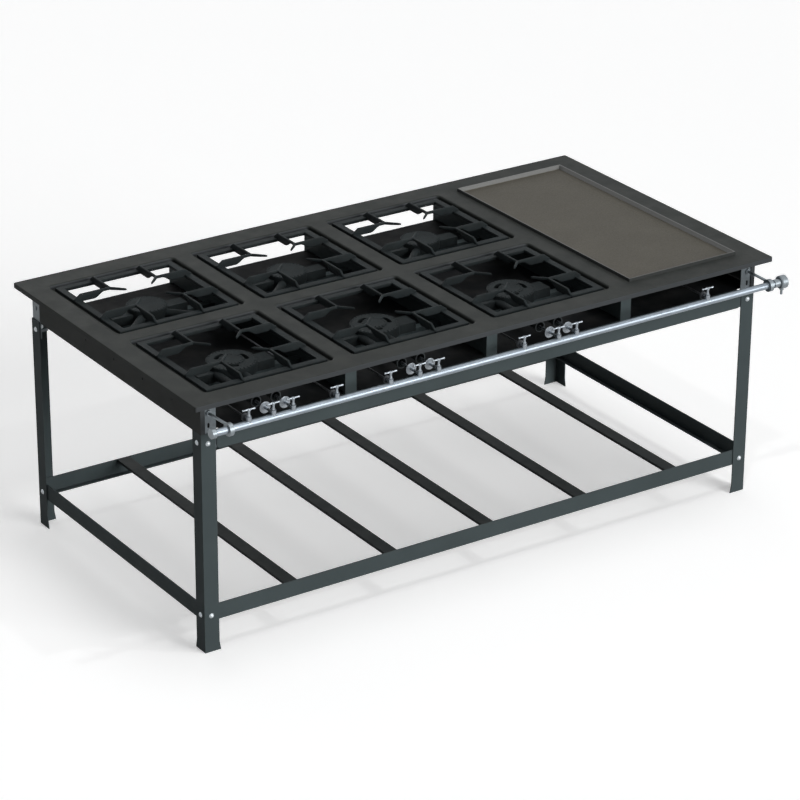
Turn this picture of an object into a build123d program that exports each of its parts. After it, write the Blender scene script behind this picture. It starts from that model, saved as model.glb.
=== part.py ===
from build123d import *
import os
from math import sqrt

# Industrial gas range: six recessed pan places, a long griddle, a gas pipe with lever taps along the
# front, an open angle-iron frame and a slatted pot shelf.
# Millimetres. The origin is on the floor under the middle of the outline. +X runs to the right end,
# +Y from front to back, +Z up.

# Table and sheet stock
table_height = 800.0
sheet = 3.0
plate_lip = 15.0
plate_corner = 6.0
edge_radius = 2.5
overhang = 38.0

# Pan places and the plate between and around them
grate_size = 400.0
grate_gap = 15.0
recess_depth = 13.0
recess_corner = 14.0
recess_edge_radius = 6.0
ledge_width = 29.0
bridge = 62.0
side_margin = 75.0
front_margin = 75.0
back_margin = 83.0

# Cast grate
rim_width = 22.0
rim_height = 10.0
rib_wall = 7.5
rib_line = 80.0
rib_stand = 15.0
rib_end_slope = 20.0
rib_web_depth = 25.0
rib_web_length = 44.0
rib_scoop_length = 36.0
finger_depth = 9.0
finger_tip = 44.0

# Griddle plate
griddle_side_gap = 10.0
griddle_end_gap = 3.0
griddle_flange = 5.0
griddle_fit = 2.0
griddle_rim_height = 10.0
griddle_rim_top = 4.0
griddle_rim_slope = 8.0
griddle_surface_drop = 1.0
griddle_thickness = 8.0

# Angle legs and their widened feet
leg_width = 48.0
leg_wall = 3.0
foot_flare = 5.0
foot_height = 28.0

# End panels
panel_depth = 106.0
panel_return = 14.0
panel_back_gap = 52.0
panel_corner_cut = 8.0
panel_hole_radius = 3.0
panel_hole_drop = 58.0
panel_hole_inset = 158.0
panel_hole_pitch = 168.0
panel_hole_count = 4

# Galvanised corner brackets
bracket_width = 48.0
bracket_wall = 2.5
slot_width = 7.0
slot_length = 16.0
side_slot_drop = 70.0
lower_slot_drop = 86.0
hanger_slot_drop = 47.0
hanger_slot_width = 10.0
hanger_slot_length = 20.0

# Top rails
rail_drop = 102.0
rail_height = 60.0
rail_flange = 20.0
rail_end_gap = 4.0
rail_corner = 10.0
rail_tab_inset = 12.0
rail_tab_trim = 3.0

# Posts, cross members and burner bars
post_width = 38.0
post_return = 15.0
cross_depth = 92.0
bar_size = 25.0
bar_drop = 74.0

# Drip sheets under the burners
drip_sheet = 1.5
drip_inset = 8.0
drip_gap = 3.0
drip_tab = 16.0

# Pot shelf
shelf_height = 149.0
shelf_rail_height = 51.0
shelf_rail_flange = 20.0
slat_count = 5
slat_pitch = 348.0
slat_width = 42.0
slat_depth = 9.0
slat_wall = 2.0

# Bolts
bolt_inset = 23.0
rail_bolt_drop = 38.0
shelf_bolt_drop = 33.0
bolt_radius = 3.9
bolt_hole_radius = 4.5
bolt_length = 18.0
bolt_head_radius = 8.0
bolt_head_height = 4.5
bolt_dome_radius = (bolt_head_radius**2 + bolt_head_height**2) / (2 * bolt_head_height)
nut_across_flats = 13.0
nut_height = 6.5
nut_bore_radius = 4.0

# Gas pipe along the front
pipe_radius = 10.65
pipe_wall = 2.65
pipe_reach = 45.0
pipe_drop = 68.0
pipe_left_inset = 24.0
pipe_insertion = 12.0
tap_drilling_radius = 2.5

# Fittings at the pipe's ends
cap_radius = 15.0
cap_end_wall = 4.0
cap_chamfer = 2.0
union_radius = 21.0
union_length = 25.0
union_neck_radius = 13.0
union_neck_length = 22.0
union_chamfer = 3.0
union_overhang = 15.0
nipple_radius = 4.0
nipple_bore_radius = 1.75
nipple_length = 15.0
nipple_shoulder = 5.0
nipple_shoulder_flats = 12.0
nipple_end_rounding = 0.8

# Pipe hangers
hanger_ring_radius = 19.5
hanger_ring_width = 13.0
hanger_rod_radius = 4.5
hanger_rod_shift = 16.0
hanger_rod_bend = 30.0
hanger_bend_radius = 15.0
hanger_nut_flats = 15.0
hanger_nut_height = 5.0

# Taps
nozzle_rise = 14.0
nozzle_radius = 4.5
nozzle_bore_radius = 1.2
nozzle_entry = 3.0
tap_body_radius = 8.0
tap_body_above_nozzle = 9.0
plug_radius = 4.0
plug_below_nozzle = 2.9
plug_passage_radius = 1.8
running_clearance = 0.06
end_clearance = 0.3
stem_radius = 5.75
lever_rise = 44.0
lever_radius = 3.0
lever_length = 44.0
lever_end_rounding = 1.2

# Air discs
disc_radius = 17.5
disc_thickness = 3.0
disc_rounding = 1.0
disc_clearance = 0.08

# Mixer tubes, from their flared mouths
mouth_setback = 10.0
griddle_mouth_setback = 112.0
mouth_radius = 17.0
mouth_length = 24.0
mixer_radius = 13.0
mixer_wall = 3.0
mixer_bend = 60.0
mixer_straight = 5.0

# Thin feed tubes of the far burners, and the hub that holds each one in its mixer's mouth
feed_radius = 3.0
feed_bore_radius = 2.0
feed_fit = 0.05
coupling_reach = 29.0
coupling_radius = 12.0
coupling_length = 9.0
coupling_chamfer = 1.5
hub_radius = 7.0
hub_length = 6.0
hub_bar = 5.0

# Burner castings
burner_drop = 30.0
burner_depth = 30.0
burner_chamfer = 2.0
ring_burner_radius = 75.0
gap_radius = 45.0
gap_width = 14.0
gap_angle = 38.0
gap_count = 3
centre_rise = 2.0
centre_radius = 37.0
ring_feed_offset = 65.0
ring_feed_entry = 20.0
single_burner_radius = 62.0
port_width = 2.5
port_length = 9.0
port_depth = 3.0
ring_ports = 36
centre_ports = 18
single_ports = 30
lug_reach = 128.0
double_lug_start = 60.0
single_lug_start = 50.0
lug_drop = 45.0
double_lug_width = 56.0
single_lug_width = 44.0

# Feed tubes of the back row, as offsets from the burner's centre, one group for each column
back_feed_offsets = [(-145.0, 145.0), (-165.0,), (-189.0,)]

# Tube burner under the griddle
tube_burner_cone = 60.0
tube_burner_end_gap = 50.0
tube_burner_wall = 3.0
tube_port_pitch = 25.0
tube_port_length = 14.0

# Outline, with the pipe's fittings standing out at the front and the right
recess = grate_size + 2 * grate_gap
pitch = recess + bridge
plate_length = 2 * side_margin + 4 * recess + 3 * bridge
plate_depth = front_margin + 2 * recess + bridge + back_margin
griddle_length = recess - 2 * griddle_side_gap
griddle_depth = 2 * recess + bridge - 2 * griddle_end_gap
griddle_opening_length = griddle_length - 2 * griddle_flange
griddle_opening_depth = griddle_depth - 2 * griddle_flange
overall_length = plate_length + union_overhang
overall_depth = plate_depth + pipe_reach + union_radius

plate_left = -overall_length / 2
plate_right = plate_left + plate_length
plate_back = overall_depth / 2
plate_front = plate_back - plate_depth
plate_top = table_height
plate_under = plate_top - sheet
plate_x = (plate_left + plate_right) / 2
plate_y = (plate_front + plate_back) / 2

frame_left = plate_left + overhang
frame_right = plate_right - overhang
frame_front = plate_front + overhang
frame_back = plate_back - overhang

# Centres of the pan places and of the griddle
column_names = ["left", "centre", "right"]
column_x = [plate_left + side_margin + recess / 2 + i * pitch for i in range(len(column_names))]
griddle_x = plate_right - side_margin - recess / 2
front_row_y = plate_front + front_margin + recess / 2
back_row_y = front_row_y + pitch
griddle_y = (front_row_y + back_row_y) / 2
post_x = [x + pitch / 2 for x in column_x]

# Levels
ledge_top = plate_top - recess_depth
rail_top = plate_top - rail_drop
rail_bottom = rail_top - rail_height
panel_bottom = plate_under - panel_depth
bar_top = plate_top - bar_drop
burner_top = plate_top - burner_drop
burner_bottom = burner_top - burner_depth
rail_bolt_z = rail_top - rail_bolt_drop
side_slot_z = plate_top - side_slot_drop
lower_slot_z = plate_top - lower_slot_drop
hanger_z = plate_top - hanger_slot_drop
shelf_bolt_z = shelf_height - shelf_bolt_drop

# Axes of the gas pipe, the nozzles and the levers
pipe_y = plate_front - pipe_reach
pipe_z = plate_top - pipe_drop
nozzle_z = pipe_z + nozzle_rise
tap_body_top = nozzle_z + tap_body_above_nozzle
plug_bottom = nozzle_z - plug_below_nozzle
lever_z = pipe_z + lever_rise
mouth_y = frame_front + mouth_setback
griddle_mouth_y = frame_front + griddle_mouth_setback
coupling_y = plate_front - coupling_reach
disc_y = plate_front
pipe_left = plate_left + pipe_left_inset
union_right = plate_right + union_overhang
union_left = union_right - union_length
union_neck_left = union_left - union_neck_length
pipe_right = union_neck_left + pipe_insertion
nipple_x = (union_left + union_right) / 2
nipple_insertion = union_radius - union_neck_radius

# The four corners of the frame: name, place, and the way in along X and Y
corners = [
    ("front_left", frame_left, frame_front, 1, 1),
    ("front_right", frame_right, frame_front, -1, 1),
    ("back_left", frame_left, frame_back, 1, -1),
    ("back_right", frame_right, frame_back, -1, -1),
]

# Near taps, which blow into a mouth behind the front rail
near_taps = [column - ring_feed_offset for column in column_x] + column_x

# Far taps, each with the place along Y of the mouth in which its feed tube ends
back_mouth_y = {}
far_taps = [(griddle_x, griddle_mouth_y)]
for column, offsets in zip(column_x, back_feed_offsets):
    for offset in offsets:
        bend_start = back_row_y - abs(offset) - mixer_bend * (sqrt(2) - 1)
        back_mouth_y[offset] = bend_start - mixer_straight - mouth_length
        far_taps.append((column + offset, back_mouth_y[offset]))

# All taps from left to right
tap_x = sorted(near_taps + [x for x, _ in far_taps])


def block(x, y, z, mode=Mode.ADD):
    """Box between two limits along each axis."""
    with Locations(((x[0] + x[1]) / 2, (y[0] + y[1]) / 2, (z[0] + z[1]) / 2)):
        Box(abs(x[1] - x[0]), abs(y[1] - y[0]), abs(z[1] - z[0]), mode=mode)


def rod(start, end, radius, mode=Mode.ADD):
    """Round bar between two points."""
    axis = Vector(*end) - Vector(*start)
    with BuildSketch(Plane(origin=start, z_dir=axis)) as section:
        Circle(radius)
    extrude(section.sketch, amount=axis.length, mode=mode)


def cone_rod(start, end, start_radius, end_radius, mode=Mode.ADD):
    """Round bar between two points that tapers from one radius to another."""
    axis = Vector(*end) - Vector(*start)
    with BuildSketch(Plane(origin=start, z_dir=axis)) as start_section:
        Circle(start_radius)
    with BuildSketch(Plane(origin=end, z_dir=axis)) as end_section:
        Circle(end_radius)
    loft([start_section.sketch, end_section.sketch], mode=mode)


def hexagon_rod(start, end, flats, mode=Mode.ADD):
    """Hexagonal bar between two points."""
    axis = Vector(*end) - Vector(*start)
    with BuildSketch(Plane(origin=start, z_dir=axis)) as section:
        RegularPolygon(flats / 2, 6, major_radius=False)
    extrude(section.sketch, amount=axis.length, mode=mode)


def angle_section(x, y, z, way_x, way_y, width, wall):
    """Level L section with its outer corner at x, y, z and equal arms along way_x and way_y."""
    with BuildSketch(Plane.XY.offset(z)) as section:
        with BuildLine():
            Polyline(
                (x, y),
                (x + way_x * width, y),
                (x + way_x * width, y + way_y * wall),
                (x + way_x * wall, y + way_y * wall),
                (x + way_x * wall, y + way_y * width),
                (x, y + way_y * width),
                close=True,
            )
        make_face()
    return section.sketch


def write(name, piece):
    """Labels a finished piece and writes it under its name."""
    piece.label = name
    export_step(piece, f"parts/{name}.step")


def build_top_plate():
    """Folded top sheet with a lip, a stepped recess for each grate and the griddle opening."""
    recess_centres = [(x, y) for x in column_x for y in (front_row_y, back_row_y)]
    with BuildPart() as top_plate:
        with BuildSketch(Plane.XY.offset(plate_top)):
            with Locations((plate_x, plate_y)):
                RectangleRounded(plate_length, plate_depth, plate_corner)
        extrude(amount=-plate_lip)
        fillet(top_plate.edges().group_by(Axis.Z)[-1], edge_radius)
        with BuildSketch(Plane.XY.offset(plate_under)):
            with Locations((plate_x, plate_y)):
                RectangleRounded(
                    plate_length - 2 * sheet, plate_depth - 2 * sheet, max(plate_corner - sheet, 0.5)
                )
        extrude(amount=-(plate_lip - sheet), mode=Mode.SUBTRACT)
        with BuildSketch(Plane.XY.offset(plate_under)):
            with Locations(*recess_centres):
                RectangleRounded(recess + 2 * sheet, recess + 2 * sheet, recess_corner + sheet)
        extrude(amount=-recess_depth)
        with BuildSketch(Plane.XY.offset(plate_top)):
            with Locations(*recess_centres):
                RectangleRounded(recess, recess, recess_corner)
        extrude(amount=-recess_depth, mode=Mode.SUBTRACT)
        recess_edges = [
            edge
            for edge in top_plate.edges().group_by(Axis.Z)[-1]
            for x, y in recess_centres
            if max(abs(edge.center().X - x), abs(edge.center().Y - y)) < recess / 2 + sheet
        ]
        fillet(recess_edges, recess_edge_radius)
        with BuildSketch(Plane.XY.offset(ledge_top)):
            with Locations(*recess_centres):
                RectangleRounded(recess - 2 * ledge_width, recess - 2 * ledge_width, recess_corner)
        extrude(amount=-sheet, mode=Mode.SUBTRACT)
        with BuildSketch(Plane.XY.offset(plate_top)):
            with Locations((griddle_x, griddle_y)):
                Rectangle(griddle_opening_length, griddle_opening_depth)
        extrude(amount=-sheet, mode=Mode.SUBTRACT)
    return top_plate.part


def build_end_panels():
    """Side sheets under the plate, each with a return round the front corner and a row of small holes."""
    with BuildPart() as end_panels:
        for x, way in ((frame_left, 1), (frame_right, -1)):
            with BuildSketch(Plane(origin=(x, 0, 0), x_dir=(0, 1, 0), z_dir=(1, 0, 0))):
                with BuildLine():
                    back = frame_back - panel_back_gap
                    Polyline(
                        (frame_front, plate_under),
                        (back, plate_under),
                        (back, panel_bottom + panel_corner_cut),
                        (back - panel_corner_cut, panel_bottom),
                        (frame_front, panel_bottom),
                        close=True,
                    )
                make_face()
            extrude(amount=way * sheet)
            front = (frame_front, frame_front + sheet)
            block((x, x + way * panel_return), front, (panel_bottom, plate_under))
            for index in range(panel_hole_count):
                y = frame_front + panel_hole_inset + index * panel_hole_pitch
                z = plate_top - panel_hole_drop
                rod((x - way, y, z), (x + way * 2 * sheet, y, z), panel_hole_radius, Mode.SUBTRACT)
    return end_panels.part


def build_top_rail(outer_y, way):
    """Channel rail flush with the legs, with a stepped tab at each end that bolts behind the bracket."""
    step = leg_wall + bracket_wall
    with BuildPart() as rail:
        left = frame_left + leg_width + rail_end_gap
        right = frame_right - leg_width - rail_end_gap
        block((left, right), (outer_y, outer_y + way * sheet), (rail_bottom, rail_top))
        lower_corners = rail.edges().filter_by(Axis.Y).group_by(Axis.Z)[0]
        fillet(lower_corners, rail_corner)
        flange_y = (outer_y + way * sheet, outer_y + way * rail_flange)
        flange_x = (left + rail_corner, right - rail_corner)
        block(flange_x, flange_y, (rail_top - sheet, rail_top))
        block(flange_x, flange_y, (rail_bottom, rail_bottom + sheet))
        for end, inward in ((left, 1), (right, -1)):
            tab_y = (outer_y + way * step, outer_y + way * (step + sheet))
            tab_z = (rail_bottom + rail_corner, rail_top - rail_tab_trim)
            tab_end = end - inward * (leg_width + rail_end_gap - rail_tab_inset)
            block((end, end + inward * sheet), (outer_y, tab_y[1]), tab_z)
            block((tab_end, end + inward * sheet), tab_y, tab_z)
            bolt_x = end - inward * (leg_width + rail_end_gap - bolt_inset)
            rod(
                (bolt_x, tab_y[0] - way, rail_bolt_z),
                (bolt_x, tab_y[1] + way, rail_bolt_z),
                bolt_hole_radius,
                mode=Mode.SUBTRACT,
            )
    return rail.part


def build_frame_posts():
    """Short channel posts between the rails and the plate, at the edges of the burner bays."""
    with BuildPart() as frame_posts:
        for x in post_x:
            for outer_y, way in ((frame_front, 1), (frame_back, -1)):
                half = post_width / 2
                height = (rail_top, plate_under)
                block((x - half, x + half), (outer_y, outer_y + way * sheet), height)
                block((x - half, x - half + sheet), (outer_y, outer_y + way * post_return), height)
                block((x + half - sheet, x + half), (outer_y, outer_y + way * post_return), height)
    return frame_posts.part


def build_cross_members():
    """Upside-down channels under the plate, from the front posts to the back posts."""
    with BuildPart() as cross_members:
        for x in post_x:
            half = post_width / 2
            along = (frame_front + post_return, frame_back - post_return)
            height = (plate_under - cross_depth, plate_under)
            block((x - half, x + half), along, height)
            inside = (plate_under - cross_depth, plate_under - sheet)
            block((x - half + sheet, x + half - sheet), along, inside, Mode.SUBTRACT)
    return cross_members.part


def build_burner_bars():
    """Angle bars across each bay, under both rows, on which the burners' lugs rest."""
    lefts = [frame_left + sheet] + [x + post_width / 2 for x in post_x]
    rights = [x - post_width / 2 for x in post_x] + [frame_right - sheet]
    with BuildPart() as burner_bars:
        for left, right in zip(lefts, rights):
            for y in (front_row_y, back_row_y):
                front = y - bar_size / 2
                block((left, right), (front, front + bar_size), (bar_top - sheet, bar_top))
                block((left, right), (front, front + sheet), (bar_top - bar_size, bar_top))
    return burner_bars.part


def build_drip_sheets():
    """Flat sheets on the rails that meet under the cross members, cut back beside the posts."""
    beside_post = post_width / 2 + drip_gap
    lefts = [frame_left + drip_inset] + [x + drip_gap for x in post_x]
    rights = [x - drip_gap for x in post_x] + [frame_right - drip_inset]
    tab_lefts = lefts[:1] + [x + beside_post for x in post_x]
    tab_rights = [x - beside_post for x in post_x] + rights[-1:]
    front = frame_front + drip_inset
    back = frame_back - drip_inset
    height = (rail_top, rail_top + drip_sheet)
    with BuildPart() as drip_sheets:
        for left, right in zip(tab_lefts, tab_rights):
            block((left, right), (front, back), height)
        for left, right in zip(lefts, rights):
            block((left, right), (front + drip_tab, back - drip_tab), height)
    return drip_sheets.part


def build_corner_brackets():
    """Galvanised angles inside the corners, slotted, from the plate down past the rails."""
    middle = bracket_width / 2
    with BuildPart() as corner_brackets:
        for _, x, y, way_x, way_y in corners:
            corner_x = x + way_x * leg_wall
            corner_y = y + way_y * leg_wall
            section = angle_section(
                corner_x, corner_y, rail_bottom, way_x, way_y, bracket_width, bracket_wall
            )
            extrude(section, amount=plate_under - rail_bottom)
            along_x = corner_x + way_x * middle
            along_y = corner_y + way_y * middle
            cut_slot((along_x, corner_y, hanger_z), (0, 1, 0), hanger_slot_length, hanger_slot_width)
            cut_slot((along_x, corner_y, lower_slot_z), (0, 1, 0), slot_length, slot_width)
            cut_slot((corner_x, along_y, side_slot_z), (1, 0, 0), slot_length, slot_width)
            bolt_holes(x, y, way_x, way_y, (rail_bolt_z,))
    return corner_brackets.part


def cut_slot(place, normal, length, width):
    """Upright slot through a bracket's arm."""
    with BuildSketch(Plane(origin=place, x_dir=(0, 0, 1), z_dir=normal)) as section:
        SlotOverall(length, width)
    extrude(section.sketch, amount=2 * bracket_wall, both=True, mode=Mode.SUBTRACT)


def bolt_holes(x, y, way_x, way_y, levels):
    """Holes through both arms of a corner piece, at each bolt level."""
    deep = 2 * leg_wall + bracket_wall
    for z in levels:
        bolt_x = x + way_x * bolt_inset
        bolt_y = y + way_y * bolt_inset
        rod((bolt_x, y - way_y, z), (bolt_x, y + way_y * deep, z), bolt_hole_radius, Mode.SUBTRACT)
        rod((x - way_x, bolt_y, z), (x + way_x * deep, bolt_y, z), bolt_hole_radius, Mode.SUBTRACT)


def build_leg(x, y, way_x, way_y):
    """Angle leg that widens at the foot."""
    with BuildPart() as leg:
        foot = angle_section(x, y, 0, way_x, way_y, leg_width + foot_flare, leg_wall)
        ankle = angle_section(x, y, foot_height, way_x, way_y, leg_width, leg_wall)
        loft([foot, ankle], ruled=True)
        extrude(ankle, amount=panel_bottom - foot_height)
        bolt_holes(x, y, way_x, way_y, (rail_bolt_z, shelf_bolt_z))
    return leg.part


def build_long_shelf_rails():
    """Front and back angles of the shelf, behind the legs and between the short rails."""
    bottom = shelf_height - shelf_rail_height
    with BuildPart() as long_shelf_rails:
        for y, way in ((frame_front, 1), (frame_back, -1)):
            outer = y + way * leg_wall
            ends = (frame_left + leg_wall + sheet, frame_right - leg_wall - sheet)
            block(ends, (outer, outer + way * sheet), (bottom, shelf_height))
            clear = shelf_rail_flange - sheet
            block(
                (ends[0] + clear, ends[1] - clear),
                (outer, outer + way * shelf_rail_flange),
                (bottom, bottom + sheet),
            )
            for x, inward in ((frame_left, 1), (frame_right, -1)):
                bolt_x = x + inward * bolt_inset
                rod(
                    (bolt_x, outer - way, shelf_bolt_z),
                    (bolt_x, outer + way * 2 * sheet, shelf_bolt_z),
                    bolt_hole_radius,
                    Mode.SUBTRACT,
                )
    return long_shelf_rails.part


def build_short_shelf_rails():
    """Left and right angles of the shelf, behind the legs."""
    bottom = shelf_height - shelf_rail_height
    with BuildPart() as short_shelf_rails:
        for x, way in ((frame_left, 1), (frame_right, -1)):
            outer = x + way * leg_wall
            ends = (frame_front + leg_wall, frame_back - leg_wall)
            block((outer, outer + way * sheet), ends, (bottom, shelf_height))
            between = (ends[0] + sheet, ends[1] - sheet)
            block((outer, outer + way * shelf_rail_flange), between, (bottom, bottom + sheet))
            for y, inward in ((frame_front, 1), (frame_back, -1)):
                bolt_y = y + inward * bolt_inset
                rod(
                    (outer - way, bolt_y, shelf_bolt_z),
                    (outer + way * 2 * sheet, bolt_y, shelf_bolt_z),
                    bolt_hole_radius,
                    Mode.SUBTRACT,
                )
    return short_shelf_rails.part


def build_shelf_slats():
    """Shallow channels from the front shelf rail to the back one, flush with the rails' upper edge."""
    along = (frame_front + leg_wall + sheet, frame_back - leg_wall - sheet)
    with BuildPart() as shelf_slats:
        for index in range(slat_count):
            x = slat_x(index)
            half = slat_width / 2
            block((x - half, x + half), along, (shelf_height - slat_depth, shelf_height))
            block(
                (x - half + slat_wall, x + half - slat_wall),
                along,
                (shelf_height - slat_depth, shelf_height - slat_wall),
                Mode.SUBTRACT,
            )
    return shelf_slats.part


def slat_x(index):
    """Middle of a slat, counted from the left."""
    return plate_x + (index - (slat_count - 1) / 2) * slat_pitch


def bolt_places():
    """Plane at each bolt's seat, facing in, with the thickness that the bolt clamps."""
    rail_grip = leg_wall + bracket_wall + sheet
    bracket_grip = leg_wall + bracket_wall
    shelf_grip = leg_wall + sheet
    places = []
    for _, x, y, way_x, way_y in corners:
        bolt_x = x + way_x * bolt_inset
        bolt_y = y + way_y * bolt_inset
        places.append((Plane(origin=(bolt_x, y, rail_bolt_z), z_dir=(0, way_y, 0)), rail_grip))
        places.append((Plane(origin=(x, bolt_y, rail_bolt_z), z_dir=(way_x, 0, 0)), bracket_grip))
        places.append((Plane(origin=(bolt_x, y, shelf_bolt_z), z_dir=(0, way_y, 0)), shelf_grip))
        places.append((Plane(origin=(x, bolt_y, shelf_bolt_z), z_dir=(way_x, 0, 0)), shelf_grip))
    return places


def build_frame_bolts():
    """Dome-head bolts through the corners, each with its nut inside."""
    with BuildPart() as bolt:
        with BuildSketch(Plane.XZ):
            with BuildLine():
                Line((0, -bolt_head_height), (0, bolt_length))
                Line((0, bolt_length), (bolt_radius, bolt_length))
                Line((bolt_radius, bolt_length), (bolt_radius, 0))
                Line((bolt_radius, 0), (bolt_head_radius, 0))
                RadiusArc((bolt_head_radius, 0), (0, -bolt_head_height), bolt_dome_radius)
            make_face()
        revolve(axis=Axis.Z)
    with BuildPart() as nut:
        with BuildSketch(Plane.XY):
            RegularPolygon(nut_across_flats / 2, 6, major_radius=False)
            Circle(nut_bore_radius, mode=Mode.SUBTRACT)
        extrude(amount=nut_height)
    with BuildPart() as frame_bolts:
        for place, grip in bolt_places():
            with Locations(place):
                add(bolt.part)
            with Locations(place.offset(grip)):
                add(nut.part)
    return frame_bolts.part


def rib_section(plane):
    """Side view of one rib: level top, sloped outer end, deep web at the rim, scooped up to the fork."""
    outer = grate_size / 2
    inner = outer - rim_width
    rib_top = plate_top + rib_stand
    web_bottom = rib_top - rib_web_depth
    web_end = inner - rib_web_length
    scoop_end = web_end - rib_scoop_length
    with BuildSketch(plane) as section:
        with BuildLine():
            Polyline(
                (scoop_end, rib_top - finger_depth),
                (rib_line, rib_top - finger_depth),
                (rib_line, rib_top),
                (outer - rib_end_slope, rib_top),
                (outer, plate_top),
                (outer, ledge_top),
                (inner, ledge_top),
                (inner, web_bottom),
                (web_end, web_bottom),
            )
            Spline(
                (web_end, web_bottom),
                (scoop_end, rib_top - finger_depth),
                tangents=((-1, 0), (-1, 0)),
            )
        make_face()
    return section.sketch


def build_grate(x, y):
    """Cast grate: a square rim on the ledge, and two ribs from each side that meet in forked fingers."""
    rim_top = ledge_top + rim_height
    rib_top = plate_top + rib_stand
    with BuildPart() as grate:
        with BuildSketch(Plane.XY.offset(ledge_top)):
            with Locations((x, y)):
                Rectangle(grate_size, grate_size)
                Rectangle(grate_size - 2 * rim_width, grate_size - 2 * rim_width, mode=Mode.SUBTRACT)
        extrude(amount=rim_top - ledge_top)
        for way_x in (-1, 1):
            for way_y in (-1, 1):
                fork_x = x + way_x * rib_line
                fork_y = y + way_y * rib_line
                along_y = Plane(origin=(fork_x, y, 0), x_dir=(0, way_y, 0), z_dir=(way_y, 0, 0))
                along_x = Plane(origin=(x, fork_y, 0), x_dir=(way_x, 0, 0), z_dir=(0, -way_x, 0))
                extrude(rib_section(along_y), amount=rib_wall / 2, both=True)
                extrude(rib_section(along_x), amount=rib_wall / 2, both=True)
                middle = (rib_line + finger_tip) / 2
                with BuildSketch(Plane.XY.offset(rib_top - finger_depth)):
                    with Locations((x + way_x * middle, y + way_y * middle)):
                        SlotCenterToCenter(
                            (rib_line - finger_tip) * sqrt(2), rib_wall, rotation=45 * way_x * way_y
                        )
                extrude(amount=finger_depth)
    return grate.part


def add_mouth(x, y):
    """Flared mouth of a mixer tube, opening to the front."""
    start = (x, y, nozzle_z)
    end = (x, y + mouth_length, nozzle_z)
    cone_rod(start, end, mouth_radius, mixer_radius)
    cone_rod(start, end, mouth_radius - mixer_wall, mixer_radius - mixer_wall, Mode.SUBTRACT)


def add_mixer(x, end_y):
    """Straight mixer tube from its mouth to a burner, solid where it joins the casting."""
    start = (x, mouth_y + mouth_length, nozzle_z)
    add_mouth(x, mouth_y)
    rod(start, (x, end_y, nozzle_z), mixer_radius)
    rod(start, (x, end_y - 2 * mixer_wall, nozzle_z), mixer_radius - mixer_wall, Mode.SUBTRACT)


def add_bent_tube(x, offset_x, reach, radius, mode=Mode.ADD):
    """Round tube from behind a back burner's mouth, with one bend of 45 degrees towards the head."""
    way = 1 if offset_x > 0 else -1
    start = (x + offset_x, back_mouth_y[offset_x] + mouth_length, nozzle_z)
    bend = (x + offset_x, back_row_y - abs(offset_x), nozzle_z)
    end = (x + way * reach / sqrt(2), back_row_y - reach / sqrt(2), nozzle_z)
    with BuildLine() as route:
        FilletPolyline(start, bend, end, radius=mixer_bend)
    with BuildSketch(Plane(origin=start, z_dir=(0, 1, 0))) as section:
        Circle(radius)
    sweep(section.sketch, path=route.line, mode=mode)


def add_hub(x, y):
    """Bar across a mouth, with a drilled hub for the end of a feed tube."""
    half = mouth_radius - mixer_wall / 2
    block((x - half, x + half), (y, y + hub_length), (nozzle_z - hub_bar / 2, nozzle_z + hub_bar / 2))
    rod((x, y, nozzle_z), (x, y + hub_length, nozzle_z), hub_radius)
    rod((x, y, nozzle_z), (x, y + hub_length, nozzle_z), feed_radius + feed_fit, Mode.SUBTRACT)


def cut_ports(x, y, radius, count, top):
    """Radial flame slots in the upper edge of a round head."""
    with Locations((x, y, top - port_depth / 2)):
        with PolarLocations(radius - port_length / 2, count):
            Box(port_length, port_width, port_depth, mode=Mode.SUBTRACT)


def add_lugs(x, y, start, width):
    """Lugs on both sides of a burner that rest on the bars."""
    for way in (-1, 1):
        block(
            (x + way * start, x + way * lug_reach),
            (y - width / 2, y + width / 2),
            (bar_top, plate_top - lug_drop),
        )


def build_double_burner(x):
    """Front burner: a ring and a raised centre in one casting, parted by three slots, with two mixers."""
    y = front_row_y
    with BuildPart() as double_burner:
        with BuildSketch(Plane.XY.offset(burner_bottom)):
            with Locations((x, y)):
                Circle(ring_burner_radius)
        extrude(amount=burner_depth)
        chamfer(double_burner.edges().group_by(Axis.Z)[-1], burner_chamfer)
        add_lugs(x, y, double_lug_start, double_lug_width)
        add_mixer(x - ring_feed_offset, y - ring_feed_entry)
        add_mixer(x, y - gap_radius - gap_width / 2 - mixer_wall)
        with BuildSketch(Plane.XY.offset(burner_top)):
            with Locations((x, y)):
                Circle(centre_radius)
        extrude(amount=centre_rise)
        with BuildSketch(Plane.XY.offset(burner_bottom)):
            with BuildLine(mode=Mode.PRIVATE) as gap:
                CenterArc((0, 0), gap_radius, -gap_angle / 2, gap_angle)
            with Locations((x, y)):
                with PolarLocations(0, gap_count):
                    SlotArc(gap.edge(), gap_width)
        extrude(amount=burner_depth, mode=Mode.SUBTRACT)
        cut_ports(x, y, ring_burner_radius, ring_ports, burner_top)
        cut_ports(x, y, centre_radius, centre_ports, burner_top + centre_rise)
    return double_burner.part


def build_back_burner(x, offsets):
    """Back burner: a single round head with a bent mixer tube for each of its feed tubes."""
    y = back_row_y
    with BuildPart() as back_burner:
        with BuildSketch(Plane.XY.offset(burner_bottom)):
            with Locations((x, y)):
                Circle(single_burner_radius)
        extrude(amount=burner_depth)
        chamfer(back_burner.edges().group_by(Axis.Z)[-1], burner_chamfer)
        add_lugs(x, y, single_lug_start, single_lug_width)
        for offset_x in offsets:
            add_bent_tube(x, offset_x, single_burner_radius / 2, mixer_radius)
        for offset_x in offsets:
            bore_end = single_burner_radius - 2 * mixer_wall
            add_bent_tube(x, offset_x, bore_end, mixer_radius - mixer_wall, Mode.SUBTRACT)
            add_mouth(x + offset_x, back_mouth_y[offset_x])
            add_hub(x + offset_x, back_mouth_y[offset_x])
        cut_ports(x, y, single_burner_radius, single_ports, burner_top)
    return back_burner.part


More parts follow.
